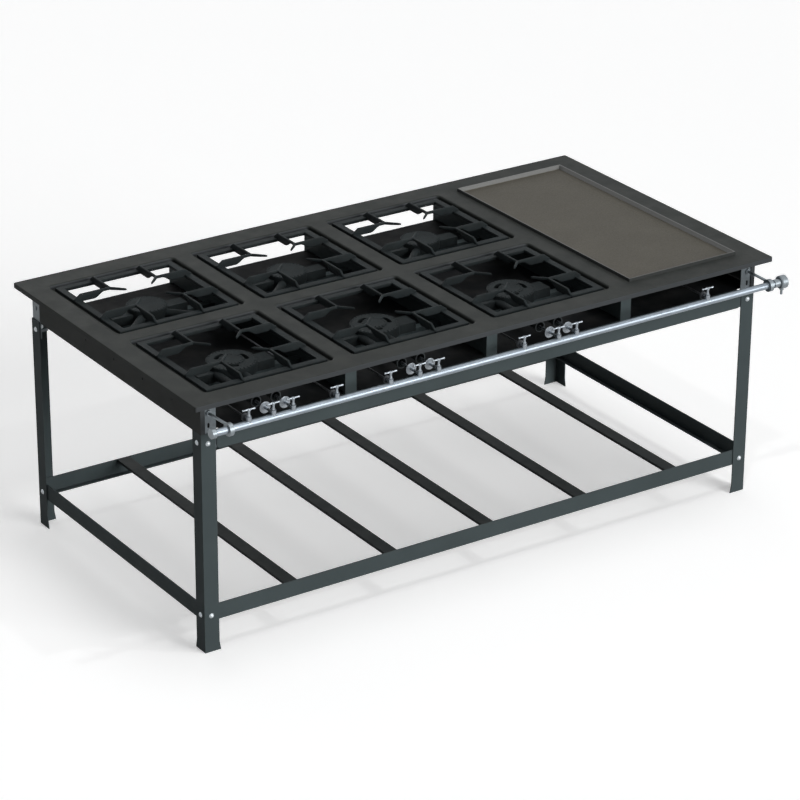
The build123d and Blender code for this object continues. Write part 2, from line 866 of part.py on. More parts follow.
def build_feed_tubes():
    """Thin tubes from the far taps to the hubs of their mixers, each with a coupling at the tap."""
    with BuildPart() as feed_tubes:
        for x, _ in far_taps:
            rod((x, coupling_y, nozzle_z), (x, coupling_y + coupling_length, nozzle_z), coupling_radius)
        chamfer(feed_tubes.edges().filter_by(GeomType.CIRCLE), coupling_chamfer)
        for x, tap_mouth_y in far_taps:
            start = (x, coupling_y, nozzle_z)
            end = (x, tap_mouth_y + hub_length, nozzle_z)
            rod(start, end, feed_radius)
            rod(start, end, feed_bore_radius, Mode.SUBTRACT)
    return feed_tubes.part


def build_griddle_plate():
    """Griddle: a slab that drops into the opening, with a rim that rests on the plate."""
    cavity_length = griddle_length - 2 * griddle_rim_top
    cavity_depth = griddle_depth - 2 * griddle_rim_top
    with BuildPart() as griddle_plate:
        with BuildSketch(Plane.XY.offset(plate_top)):
            with Locations((griddle_x, griddle_y)):
                Rectangle(griddle_length, griddle_depth)
        extrude(amount=griddle_rim_height)
        with BuildSketch(Plane.XY.offset(plate_top)):
            with Locations((griddle_x, griddle_y)):
                Rectangle(
                    griddle_opening_length - 2 * griddle_fit, griddle_opening_depth - 2 * griddle_fit
                )
        extrude(amount=-griddle_thickness)
        with BuildSketch(Plane.XY.offset(plate_top - griddle_surface_drop)):
            with Locations((griddle_x, griddle_y)):
                Rectangle(
                    cavity_length - 2 * griddle_rim_slope, cavity_depth - 2 * griddle_rim_slope
                )
        with BuildSketch(Plane.XY.offset(plate_top + griddle_rim_height)):
            with Locations((griddle_x, griddle_y)):
                Rectangle(cavity_length, cavity_depth)
        loft(mode=Mode.SUBTRACT)
    return griddle_plate.part


def build_griddle_burner():
    """Tube burner along the middle of the griddle, closed at the back, with slots along its top."""
    radius = nozzle_z - bar_top
    bore = radius - tube_burner_wall
    neck_y = griddle_mouth_y + mouth_length
    neck = (griddle_x, neck_y, nozzle_z)
    shoulder = (griddle_x, neck_y + tube_burner_cone, nozzle_z)
    tube_end = griddle_y + griddle_depth / 2 - tube_burner_end_gap
    with BuildPart() as griddle_burner:
        cone_rod(neck, shoulder, mixer_radius, radius)
        rod(shoulder, (griddle_x, tube_end, nozzle_z), radius)
        cone_rod(neck, shoulder, mixer_radius - mixer_wall, bore, Mode.SUBTRACT)
        rod(shoulder, (griddle_x, tube_end - tube_burner_wall, nozzle_z), bore, Mode.SUBTRACT)
        add_mouth(griddle_x, griddle_mouth_y)
        add_hub(griddle_x, griddle_mouth_y)
        tube_length = tube_end - shoulder[1]
        port_count = int(tube_length / tube_port_pitch) - 1
        with Locations((griddle_x, shoulder[1] + tube_length / 2, nozzle_z + radius)):
            with GridLocations(tube_port_pitch, tube_port_pitch, 1, port_count):
                Box(tube_port_length, port_width, 4 * tube_burner_wall, mode=Mode.SUBTRACT)
    return griddle_burner.part


def build_manifold_pipe():
    """Gas pipe along the front, drilled on top for each tap."""
    left = (pipe_left, pipe_y, pipe_z)
    right = (pipe_right, pipe_y, pipe_z)
    with BuildPart() as manifold_pipe:
        rod(left, right, pipe_radius)
        rod(left, right, pipe_radius - pipe_wall, Mode.SUBTRACT)
        for x in tap_x:
            drilling_top = (x, pipe_y, pipe_z + 2 * pipe_radius)
            rod((x, pipe_y, pipe_z), drilling_top, tap_drilling_radius, Mode.SUBTRACT)
    return manifold_pipe.part


def build_pipe_cap():
    """Cap screwed over the pipe's left end."""
    outer_end = (pipe_left - cap_end_wall, pipe_y, pipe_z)
    pipe_end = (pipe_left, pipe_y, pipe_z)
    inner_end = (pipe_left + pipe_insertion, pipe_y, pipe_z)
    with BuildPart() as pipe_cap:
        rod(outer_end, inner_end, cap_radius)
        chamfer(pipe_cap.edges().filter_by(GeomType.CIRCLE), cap_chamfer)
        rod(pipe_end, inner_end, pipe_radius, Mode.SUBTRACT)
    return pipe_cap.part


def build_inlet_union():
    """Round union over the pipe's right end, drilled from below for the hose nipple."""
    middle = (nipple_x, pipe_y, pipe_z)
    pipe_end = (pipe_right, pipe_y, pipe_z)
    neck_end = (union_neck_left, pipe_y, pipe_z)
    with BuildPart() as inlet_union:
        rod((union_left, pipe_y, pipe_z), (union_right, pipe_y, pipe_z), union_radius)
        chamfer(inlet_union.edges().filter_by(GeomType.CIRCLE), union_chamfer)
        rod(neck_end, (union_left, pipe_y, pipe_z), union_neck_radius)
        rod(neck_end, pipe_end, pipe_radius, Mode.SUBTRACT)
        chamber_end = (nipple_x + 2 * nipple_radius, pipe_y, pipe_z)
        rod(pipe_end, chamber_end, pipe_radius - pipe_wall, Mode.SUBTRACT)
        rod(middle, (nipple_x, pipe_y, pipe_z - union_radius - 1), nipple_radius, Mode.SUBTRACT)
    return inlet_union.part


def build_hose_nipple():
    """Nipple under the union for the supply hose, with a hexagonal shoulder."""
    seat = (nipple_x, pipe_y, pipe_z - union_radius)
    shoulder = (nipple_x, pipe_y, seat[2] - nipple_shoulder)
    tip = (nipple_x, pipe_y, shoulder[2] - nipple_length)
    inner_end = (nipple_x, pipe_y, seat[2] + nipple_insertion)
    with BuildPart() as hose_nipple:
        rod(shoulder, tip, nipple_radius)
        fillet(hose_nipple.edges().group_by(Axis.Z)[0], nipple_end_rounding)
        hexagon_rod(shoulder, seat, nipple_shoulder_flats)
        rod(seat, inner_end, nipple_radius)
        rod(tip, inner_end, nipple_bore_radius, Mode.SUBTRACT)
    return hose_nipple.part


def build_pipe_hangers():
    """Bent rod from each front bracket's upper slot to a ring round the pipe, with its nuts."""
    seat_y = frame_front + leg_wall
    behind_y = seat_y + bracket_wall
    inset = leg_wall + bracket_width / 2
    half = hanger_ring_width / 2
    ring_middle = (hanger_ring_radius + pipe_radius) / 2 / sqrt(2)
    with BuildPart() as pipe_hangers:
        for rod_x in (frame_left + inset, frame_right - inset):
            x = rod_x + hanger_rod_shift
            start = (rod_x, behind_y + 2 * hanger_nut_height, hanger_z)
            bend = (rod_x, seat_y - hanger_rod_bend, hanger_z)
            with BuildLine() as route:
                FilletPolyline(
                    start, bend, (x, pipe_y + ring_middle, pipe_z + ring_middle), radius=hanger_bend_radius
                )
            with BuildSketch(Plane(origin=start, z_dir=(0, -1, 0))):
                Circle(hanger_rod_radius)
            sweep(path=route.line)
            rod((x - half, pipe_y, pipe_z), (x + half, pipe_y, pipe_z), hanger_ring_radius)
            rod((x - 2 * half, pipe_y, pipe_z), (x + 2 * half, pipe_y, pipe_z), pipe_radius, Mode.SUBTRACT)
            for nut_y in (seat_y - hanger_nut_height, behind_y):
                nut_end = (rod_x, nut_y + hanger_nut_height, hanger_z)
                hexagon_rod((rod_x, nut_y, hanger_z), nut_end, hanger_nut_flats)
    return pipe_hangers.part


def build_tap_bodies():
    """Tap bodies saddled on the pipe, each with a plug bore and, to the back, its nozzle or its outlet."""
    with BuildPart() as tap_bodies:
        for x in tap_x:
            middle = (x, pipe_y, pipe_z)
            outlet = (x, pipe_y, nozzle_z)
            top = (x, pipe_y, tap_body_top)
            tip = (x, mouth_y + nozzle_entry if x in near_taps else coupling_y, nozzle_z)
            rod(middle, top, tap_body_radius)
            rod(outlet, tip, nozzle_radius)
            rod(outlet, tip, nozzle_bore_radius, Mode.SUBTRACT)
            rod(middle, top, plug_radius + running_clearance, Mode.SUBTRACT)
        left = (tap_x[0] - 2 * tap_body_radius, pipe_y, pipe_z)
        right = (tap_x[-1] + 2 * tap_body_radius, pipe_y, pipe_z)
        rod(left, right, pipe_radius, Mode.SUBTRACT)
    return tap_bodies.part


def build_tap_handle(x):
    """Tap plug, stem and cross lever in one piece; the lever lies along the pipe when shut."""
    half = lever_length / 2
    foot = (x, pipe_y, plug_bottom)
    shoulder = (x, pipe_y, tap_body_top + end_clearance)
    passage = (x, pipe_y, nozzle_z)
    with BuildPart() as tap_handle:
        rod((x - half, pipe_y, lever_z), (x + half, pipe_y, lever_z), lever_radius)
        fillet(tap_handle.edges().filter_by(GeomType.CIRCLE), lever_end_rounding)
        rod(shoulder, (x, pipe_y, lever_z + lever_radius), stem_radius)
        rod(foot, shoulder, plug_radius)
        rod(foot, (x, pipe_y, nozzle_z + 2 * nozzle_bore_radius), plug_passage_radius, Mode.SUBTRACT)
        rod(passage, (x + 2 * plug_radius, pipe_y, nozzle_z), nozzle_bore_radius, Mode.SUBTRACT)
    return tap_handle.part


def build_air_disc(x):
    """Round air disc running on the nozzle."""
    front = (x, disc_y - disc_thickness / 2, nozzle_z)
    back = (x, disc_y + disc_thickness / 2, nozzle_z)
    with BuildPart() as air_disc:
        rod(front, back, disc_radius)
        fillet(air_disc.edges().filter_by(GeomType.CIRCLE), disc_rounding)
        rod(front, back, nozzle_radius + disc_clearance, Mode.SUBTRACT)
    return air_disc.part


os.makedirs("parts", exist_ok=True)

write("top_plate", build_top_plate())
write("end_panels", build_end_panels())
write("front_rail", build_top_rail(frame_front, 1))
write("back_rail", build_top_rail(frame_back, -1))
write("frame_posts", build_frame_posts())
write("cross_members", build_cross_members())
write("burner_bars", build_burner_bars())
write("drip_sheets", build_drip_sheets())
write("corner_brackets", build_corner_brackets())
for corner_name, corner_x, corner_y, inward_x, inward_y in corners:
    write(f"leg_{corner_name}", build_leg(corner_x, corner_y, inward_x, inward_y))
write("long_shelf_rails", build_long_shelf_rails())
write("short_shelf_rails", build_short_shelf_rails())
write("shelf_slats", build_shelf_slats())
write("frame_bolts", build_frame_bolts())
for column_name, column, feed_offsets in zip(column_names, column_x, back_feed_offsets):
    write(f"grate_front_{column_name}", build_grate(column, front_row_y))
    write(f"grate_back_{column_name}", build_grate(column, back_row_y))
    write(f"double_burner_{column_name}", build_double_burner(column))
    write(f"back_burner_{column_name}", build_back_burner(column, feed_offsets))
write("feed_tubes", build_feed_tubes())
write("griddle_plate", build_griddle_plate())
write("griddle_burner", build_griddle_burner())
write("manifold_pipe", build_manifold_pipe())
write("pipe_cap", build_pipe_cap())
write("inlet_union", build_inlet_union())
write("hose_nipple", build_hose_nipple())
write("pipe_hangers", build_pipe_hangers())
write("tap_bodies", build_tap_bodies())
for number, handle_x in enumerate(tap_x, start=1):
    write(f"tap_handle_{number}", build_tap_handle(handle_x))
    if handle_x in near_taps:
        write(f"air_disc_{number}", build_air_disc(handle_x))
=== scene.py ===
"""Looks of an industrial gas stove: painted steel table, cast grates, griddle, gas pipe with taps."""

import logging
import math
from abc import ABC, abstractmethod
from dataclasses import dataclass
from enum import Enum

import bmesh
import bpy
import numpy as np
from mathutils import Matrix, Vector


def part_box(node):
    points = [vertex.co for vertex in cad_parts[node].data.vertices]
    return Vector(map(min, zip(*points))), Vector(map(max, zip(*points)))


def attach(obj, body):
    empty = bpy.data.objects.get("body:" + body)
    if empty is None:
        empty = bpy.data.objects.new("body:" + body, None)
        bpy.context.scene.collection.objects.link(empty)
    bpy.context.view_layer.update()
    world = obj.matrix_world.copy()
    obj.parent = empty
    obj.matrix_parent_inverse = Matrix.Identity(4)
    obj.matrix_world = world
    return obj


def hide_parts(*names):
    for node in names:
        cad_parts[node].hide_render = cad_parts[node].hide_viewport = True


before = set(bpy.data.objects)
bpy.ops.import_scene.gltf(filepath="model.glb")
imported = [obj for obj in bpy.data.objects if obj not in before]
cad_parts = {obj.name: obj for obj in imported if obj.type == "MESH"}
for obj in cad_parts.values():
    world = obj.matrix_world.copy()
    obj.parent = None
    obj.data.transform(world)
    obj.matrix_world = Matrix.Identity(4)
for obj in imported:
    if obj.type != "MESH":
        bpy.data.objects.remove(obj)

log = logging.getLogger("stove")

Colour = tuple[float, float, float]
Point = tuple[float, float, float]
Pair = tuple[float, float]
Socket = bpy.types.NodeSocket
Tree = bpy.types.NodeTree

PLATE_TOP = 0.800
COLUMNS = {"left": -0.7455, "centre": -0.2535, "right": 0.2385}
ROWS = {"front": -0.217, "back": 0.275}
TAP_COUNT = 11
NEAR_TAPS = (2, 3, 6, 7, 9, 10)
MOUTH_Y = -0.459
MOUTH_FACED = 0.0006
GRIDDLE_FACE = PLATE_TOP - 0.001
UNIFORM = (1.0, 1.0, 1.0)


class Slot(Enum):
    """Names of material slots in the record."""

    GRATE = "grate_iron"
    DRIP = "drip_steel"
    TAP = "tap_chrome"


class Mask(Enum):
    """Kinds of pattern that a tone group can carry."""

    CLOUD = "cloud"
    SPECKLE = "speckle"


# Shader helpers


def rgba(colour: object) -> object:
    """Adds an alpha of 1 to a colour, and leaves a socket as it is."""
    return (*colour, 1.0) if isinstance(colour, tuple) and len(colour) == 3 else colour


def shade(colour: Colour, factor: float) -> Colour:
    """Makes a colour darker or lighter by a factor."""
    return tuple(channel * factor for channel in colour)


class NodeSheet:
    """Adds and links nodes in one node tree."""

    def __init__(self, tree: Tree) -> None:
        """Keeps the tree and empties it.

        Args:
            tree: The node tree to fill.
        """
        self.tree = tree
        tree.nodes.clear()

    def add(self, kind: str, inputs: dict | None = None, **settings: object) -> bpy.types.Node:
        """Adds one node.

        Args:
            kind: Blender's name of the node type.
            inputs: Values or sockets for the node's inputs, by name or number.
            settings: Properties of the node.

        Returns:
            The new node.
        """
        node = self.tree.nodes.new(kind)
        for key, value in settings.items():
            setattr(node, key, value)
        for key, value in (inputs or {}).items():
            if isinstance(value, Socket):
                self.tree.links.new(value, node.inputs[key])
            else:
                node.inputs[key].default_value = value
        return node

    def mix(self, factor: object, low: object, high: object) -> Socket:
        """Blends two colours.

        Args:
            factor: 0 gives low and 1 gives high.
            low: Colour or socket.
            high: Colour or socket.

        Returns:
            The blended colour's socket.
        """
        values = {0: factor, 6: rgba(low), 7: rgba(high)}
        return self.add("ShaderNodeMix", values, data_type="RGBA").outputs[2]

    def lay(self, under: object, over: object, mask: Socket, share: float) -> Socket:
        """Lays a colour over another one.

        Args:
            under: Colour or socket below.
            over: Colour or socket on top.
            mask: 1 where the upper one lies and 0 elsewhere.
            share: How much it covers where the mask is 1.

        Returns:
            The resulting colour's socket.
        """
        return self.mix(self.math("MULTIPLY", mask, share), under, over)

    def math(self, operation: str, a: object, b: object = 0.0) -> Socket:
        """Calculates with one or two numbers, limited to 0 to 1.

        Args:
            operation: Blender's name of the operation.
            a: First number or socket.
            b: Second number or socket.

        Returns:
            The result's socket.
        """
        node = self.add("ShaderNodeMath", {0: a, 1: b}, operation=operation, use_clamp=True)
        return node.outputs[0]

    def span(
        self, value: object, low: object, high: object, to_low: float = 0.0, to_high: float = 1.0
    ) -> Socket:
        """Maps a range of numbers onto another, limited at both ends.

        Args:
            value: Number or socket.
            low: Start of the given range.
            high: End of the given range.
            to_low: Result at the start.
            to_high: Result at the end.

        Returns:
            The result's socket.
        """
        limits = {0: value, 1: low, 2: high, 3: to_low, 4: to_high}
        return self.add("ShaderNodeMapRange", limits).outputs[0]

    def noise(self, place: object, scale: object, detail: float, roughness: float = 0.5) -> Socket:
        """Noise from 0 to 1.

        Args:
            place: Coordinates.
            scale: How fine it is.
            detail: How many finer layers it has.
            roughness: How strong these layers are.

        Returns:
            The noise's socket.
        """
        inputs = {"Vector": place, "Scale": scale, "Detail": detail, "Roughness": roughness}
        return self.add("ShaderNodeTexNoise", inputs).outputs[0]

    def stretched(self, scale: Point) -> Socket:
        """Object coordinates, scaled along each axis."""
        place = self.add("ShaderNodeTexCoord").outputs["Object"]
        return self.add("ShaderNodeMapping", {"Vector": place, "Scale": scale}).outputs[0]

    def normal(self) -> Socket:
        """Direction in which the surface looks."""
        return self.add("ShaderNodeNewGeometry").outputs["Normal"]

    def part(self, vector: Socket, axis: int) -> Socket:
        """One coordinate of a vector."""
        return self.add("ShaderNodeSeparateXYZ", {0: vector}).outputs[axis]

    def seen(self) -> Socket:
        """1 for the camera and in reflections, 0 for the light that bounces to other surfaces.

        Returns:
            The mask's socket.
        """
        rays = self.add("ShaderNodeLightPath").outputs
        direct = self.math("ADD", rays["Is Camera Ray"], rays["Is Glossy Ray"])
        return self.math("ADD", direct, rays["Is Transmission Ray"])


class SharedEffects:
    """Node groups that several finishes use."""

    def __init__(self) -> None:
        """Builds every group once."""
        self.tones = {mask: self._tone(mask) for mask in Mask}
        self.worn_and_highlit_edge = self._worn_and_highlit_edge()
        self.settled_dust = self._settled_dust()
        self.drawn_lines = self._drawn_lines()

    def _start(self, name: str, **numbers: float) -> tuple[NodeSheet, dict[str, Socket]]:
        """Starts a group with a vector input, Place, and number inputs.

        Args:
            name: The group's name.
            numbers: Default values of the number inputs, by name.

        Returns:
            The sheet to build on and the input sockets by name.
        """
        tree = bpy.data.node_groups.new(name, "ShaderNodeTree")
        tree.interface.new_socket(name="Place", in_out="INPUT", socket_type="NodeSocketVector")
        for key, value in numbers.items():
            socket = tree.interface.new_socket(name=key, in_out="INPUT", socket_type="NodeSocketFloat")
            socket.default_value = value
        sheet = NodeSheet(tree)
        given = sheet.add("NodeGroupInput").outputs
        return sheet, {socket.name: socket for socket in given if socket.name}

    def _end(self, sheet: NodeSheet, name: str, result: Socket) -> Tree:
        """Gives a group its one output.

        Args:
            sheet: The group's sheet.
            name: The output's name.
            result: The number to put out.

        Returns:
            The finished group.
        """
        sheet.tree.interface.new_socket(name=name, in_out="OUTPUT", socket_type="NodeSocketFloat")
        sheet.add("NodeGroupOutput", {0: result})
        return sheet.tree

    def _tone(self, mask: Mask) -> Tree:
        """Slow clouds or fine speckles, from 0 to 1: noise cut off at the contrast below and above a half.

        Args:
            mask: Which of the two.

        Returns:
            The group.
        """
        sheet, given = self._start(f"tone_{mask.value}", Scale=6.0, Contrast=0.2)
        detail, roughness = {Mask.CLOUD: (4.0, 0.55), Mask.SPECKLE: (2.0, 0.7)}[mask]
        noise = sheet.noise(given["Place"], given["Scale"], detail, roughness)
        low = sheet.math("SUBTRACT", 0.5, given["Contrast"])
        high = sheet.math("ADD", 0.5, given["Contrast"])
        return self._end(sheet, "Tone", sheet.span(noise, low, high))

    def _worn_and_highlit_edge(self) -> Tree:
        """1 on convex and concave edges, where a rounded normal leaves the true one, broken up by noise; it
        marks edges that are partly worn and partly painted highlight.

        Returns:
            The group.
        """
        sheet, given = self._start("worn_and_highlit_edge", Radius=0.0015, Breakup=60.0)
        rounded = sheet.add("ShaderNodeBevel", {"Radius": given["Radius"]}, samples=4).outputs[0]
        pair = {0: rounded, 1: sheet.normal()}
        likeness = sheet.add("ShaderNodeVectorMath", pair, operation="DOT_PRODUCT").outputs["Value"]
        bent = sheet.span(likeness, 0.985, 0.8)
        noise = sheet.noise(given["Place"], given["Breakup"], detail=3.0)
        # This mask serves edges that are partly worn and partly lighter as painted highlight.
        wear_and_highlight = sheet.math("MULTIPLY", bent, sheet.span(noise, 0.3, 0.7, to_low=0.25))
        return self._end(sheet, "Wear_and_highlight", wear_and_highlight)

    def _settled_dust(self) -> Tree:
        """1 on faces that look up, broken into soft patches.

        Returns:
            The group.
        """
        sheet, given = self._start("settled_dust", Scale=25.0)
        up = sheet.part(sheet.normal(), 2)
        patches = sheet.span(sheet.noise(given["Place"], given["Scale"], detail=5.0), 0.42, 0.7)
        return self._end(sheet, "Dust", sheet.math("MULTIPLY", sheet.span(up, 0.6, 1.0), patches))

    def _drawn_lines(self) -> Tree:
        """Fine lines along the direction in which Place is scaled least.

        Returns:
            The group.
        """
        sheet, given = self._start("drawn_lines", Scale=1.0)
        noise = sheet.noise(given["Place"], given["Scale"], detail=3.0, roughness=0.65)
        return self._end(sheet, "Lines", sheet.span(noise, 0.35, 0.65))


class Coat(NodeSheet):
    """Node sheet of one material, with the shared effects at hand."""

    def __init__(self, name: str, effects: SharedEffects) -> None:
        """Starts the material.

        Args:
            name: The material's name.
            effects: The shared effects.
        """
        self.material = bpy.data.materials.new(name)
        self.material.use_nodes = True
        super().__init__(self.material.node_tree)
        self.effects = effects
        self.place = self.stretched(UNIFORM)

    def _effect(self, group: Tree, **inputs: object) -> Socket:
        """Places a shared effect and gives its output."""
        return self.add("ShaderNodeGroup", {"Place": self.place, **inputs}, node_tree=group).outputs[0]

    def tone(self, mask: Mask, scale: float, contrast: float) -> Socket:
        """Clouds or speckles, finer with the scale and softer with the contrast."""
        return self._effect(self.effects.tones[mask], Scale=scale, Contrast=contrast)

    def edges(self, radius: float, breakup: float) -> Socket:
        """Edges that are partly worn and partly painted highlight, as wide as the radius in metres and finer
        broken with the breakup.
        """
        return self._effect(self.effects.worn_and_highlit_edge, Radius=radius, Breakup=breakup)

    def dust(self, scale: float) -> Socket:
        """Patches of dust on faces that look up."""
        return self._effect(self.effects.settled_dust, Scale=scale)

    def lines(self, stretch: Point) -> Socket:
        """Drawn lines, as fine along each axis as it is stretched."""
        return self._effect(self.effects.drawn_lines, Place=self.stretched(stretch), Scale=1.0)

    def finish(self, shader: dict, height: Socket, depth: float) -> None:
        """Adds the bump, the shader and the output.

        Args:
            shader: Inputs of the shader, by name.
            height: Height of the surface's relief, from 0 to 1.
            depth: Depth of that relief in metres.
        """
        relief = {"Height": height, "Distance": depth, "Strength": 1.0}
        bump = self.add("ShaderNodeBump", relief).outputs[0]
        surface = self.add("ShaderNodeBsdfPrincipled", {**shader, "Normal": bump}).outputs[0]
        self.add("ShaderNodeOutputMaterial", {"Surface": surface})


# Finishes


@dataclass(frozen=True)
class Finish(ABC):
    """What a surface looks like."""

    name: str

    def material(self, effects: SharedEffects) -> bpy.types.Material:
        """Builds the material.

        Args:
            effects: The shared effects.

        Returns:
            The material.
        """
        coat = Coat(self.name, effects)
        self.cover(coat)
        return coat.material

    @abstractmethod
    def cover(self, coat: Coat) -> None:
        """Fills the material's node sheet."""


@dataclass(frozen=True)
class PaintFinish(Finish):
    """Enamel on sheet steel, with a faint orange peel, cloudy tone and lighter edges, partly worn and partly
    painted highlight.

    Where a lighter tone is given for them, faces that look to the front or back take it: painted light,
    standing in for the light that falls on front faces such as the front lip.
    """

    base: Colour
    rubbed_and_highlit: Colour
    roughness: float
    specular: float
    wear_and_highlight: float = 0.5
    painted_front_light: Colour | None = None
    tone_scale: float = 5.0
    peel_scale: float = 420.0
    peel_depth: float = 0.00006
    dust: Colour = (0.3, 0.29, 0.27)

    def cover(self, coat: Coat) -> None:
        """Lays flecks, dust and lighter edges, partly worn and partly painted highlight, over a cloudy tone,
        which is lighter on front and back faces as painted light where such a tone is given.

        Args:
            coat: The material's node sheet.
        """
        cloud = coat.tone(Mask.CLOUD, scale=self.tone_scale, contrast=0.2)
        paint = coat.mix(cloud, shade(self.base, 0.9), shade(self.base, 1.1))
        # Painted light: faces that look to the front or back get a lighter tone, standing in for the front
        # light on them.
        if self.painted_front_light is not None:
            facing_front_or_back = coat.math("ABSOLUTE", coat.part(coat.normal(), 1))
            painted_lit_paint = coat.mix(cloud, shade(self.painted_front_light, 0.9), self.painted_front_light)
            paint = coat.mix(coat.span(facing_front_or_back, 0.6, 0.9), paint, painted_lit_paint)
        fleck = coat.tone(Mask.SPECKLE, scale=900.0, contrast=0.3)
        paint = coat.lay(paint, shade(self.base, 1.5), fleck, share=0.12)
        paint = coat.lay(paint, self.dust, coat.dust(scale=14.0), share=0.05)
        # Lighter edges: partly worn paint, partly painted highlight.
        paint = coat.lay(paint, self.rubbed_and_highlit, coat.edges(radius=0.0016, breakup=70.0), share=self.wear_and_highlight)
        smear = coat.tone(Mask.CLOUD, scale=self.tone_scale * 3.1, contrast=0.25)
        smooth, rough = self.roughness - 0.05, self.roughness + 0.06
        shader = {
            "Base Color": paint,
            "Roughness": coat.span(smear, 0.0, 1.0, to_low=smooth, to_high=rough),
            "Specular IOR Level": self.specular,
        }
        peel = coat.tone(Mask.SPECKLE, scale=self.peel_scale, contrast=0.45)
        coat.finish(shader, peel, self.peel_depth)


@dataclass(frozen=True)
class ZincFinish(Finish):
    """Galvanised or bright metal: patches of slightly different grey, with dull and bright grains."""

    base: Colour
    roughness: float
    metallic: float
    grain_scale: float = 90.0
    spread: float = 0.25
    lines: Point = (400.0, 400.0, 400.0)
    relief: float = 0.00005

    def cover(self, coat: Coat) -> None:
        """Lays clouds and bright edges, partly worn and partly painted highlight, over the grains.

        Args:
            coat: The material's node sheet.
        """
        cells = coat.add("ShaderNodeTexVoronoi", {"Vector": coat.place, "Scale": self.grain_scale})
        grain = coat.add("ShaderNodeSeparateColor", {0: cells.outputs["Color"]}).outputs[0]
        metal = coat.mix(grain, shade(self.base, 1 - self.spread), self.base)
        cloud = coat.tone(Mask.CLOUD, scale=18.0, contrast=0.22)
        metal = coat.lay(metal, shade(self.base, 0.6), cloud, share=0.25)
        # Lighter edges: partly worn metal, partly painted highlight.
        edge = coat.edges(radius=0.001, breakup=120.0)
        metal = coat.lay(metal, shade(self.base, 1.35), edge, share=0.5)
        lines = coat.lines(self.lines)
        rough = coat.math("ADD", coat.math("MULTIPLY", grain, 0.12), coat.math("MULTIPLY", lines, 0.08))
        shader = {
            "Base Color": metal,
            "Roughness": coat.math("ADD", rough, self.roughness - 0.1),
            "Metallic": self.metallic,
        }
        coat.finish(shader, lines, self.relief)


@dataclass(frozen=True)
class CastFinish(Finish):
    """Cast iron as it leaves the sand: grainy, dark, with lighter high edges, partly worn and partly painted
    highlight, and a trace of rust.

    Whatever lies in front of faced_y is the machined end of a mixer tube and shows bare metal.
    """

    base: Colour
    rubbed_and_highlit: Colour
    roughness: float
    faced_y: float = -9.0
    faced: Colour = (0.045, 0.05, 0.053)
    faced_blend: float = 0.0004
    grain_scale: float = 520.0
    grain_depth: float = 0.0002
    rust: Colour = (0.12, 0.05, 0.02)
    rust_share: float = 0.015
    specular: float = 0.08

    def cover(self, coat: Coat) -> None:
        """Lays sand grains, rust and lighter edges, partly worn and partly painted highlight, over a cloudy
        tone, and bare metal at the front.

        Args:
            coat: The material's node sheet.
        """
        cloud = coat.tone(Mask.CLOUD, scale=22.0, contrast=0.2)
        iron = coat.mix(cloud, shade(self.base, 0.75), shade(self.base, 1.3))
        sand = coat.tone(Mask.SPECKLE, scale=self.grain_scale, contrast=0.4)
        iron = coat.lay(iron, shade(self.base, 1.8), sand, share=0.3)
        spots = coat.tone(Mask.CLOUD, scale=75.0, contrast=0.12)
        iron = coat.lay(iron, self.rust, spots, share=self.rust_share)
        # Lighter edges: partly worn iron, partly painted highlight.
        iron = coat.lay(iron, self.rubbed_and_highlit, coat.edges(radius=0.0014, breakup=150.0), share=0.5)
        depth, faced_end = coat.part(coat.place, 1), self.faced_y + self.faced_blend
        bare = coat.span(depth, self.faced_y, faced_end, to_low=1.0, to_high=0.0)
        smooth, rough = self.roughness - 0.08, self.roughness + 0.1
        shader = {
            "Base Color": coat.mix(bare, iron, self.faced),
            "Roughness": coat.span(sand, 0.0, 1.0, to_low=smooth, to_high=rough),
            "Metallic": coat.math("MULTIPLY", bare, 0.6),
            "Specular IOR Level": self.specular,
        }
        coat.finish(shader, sand, self.grain_depth)


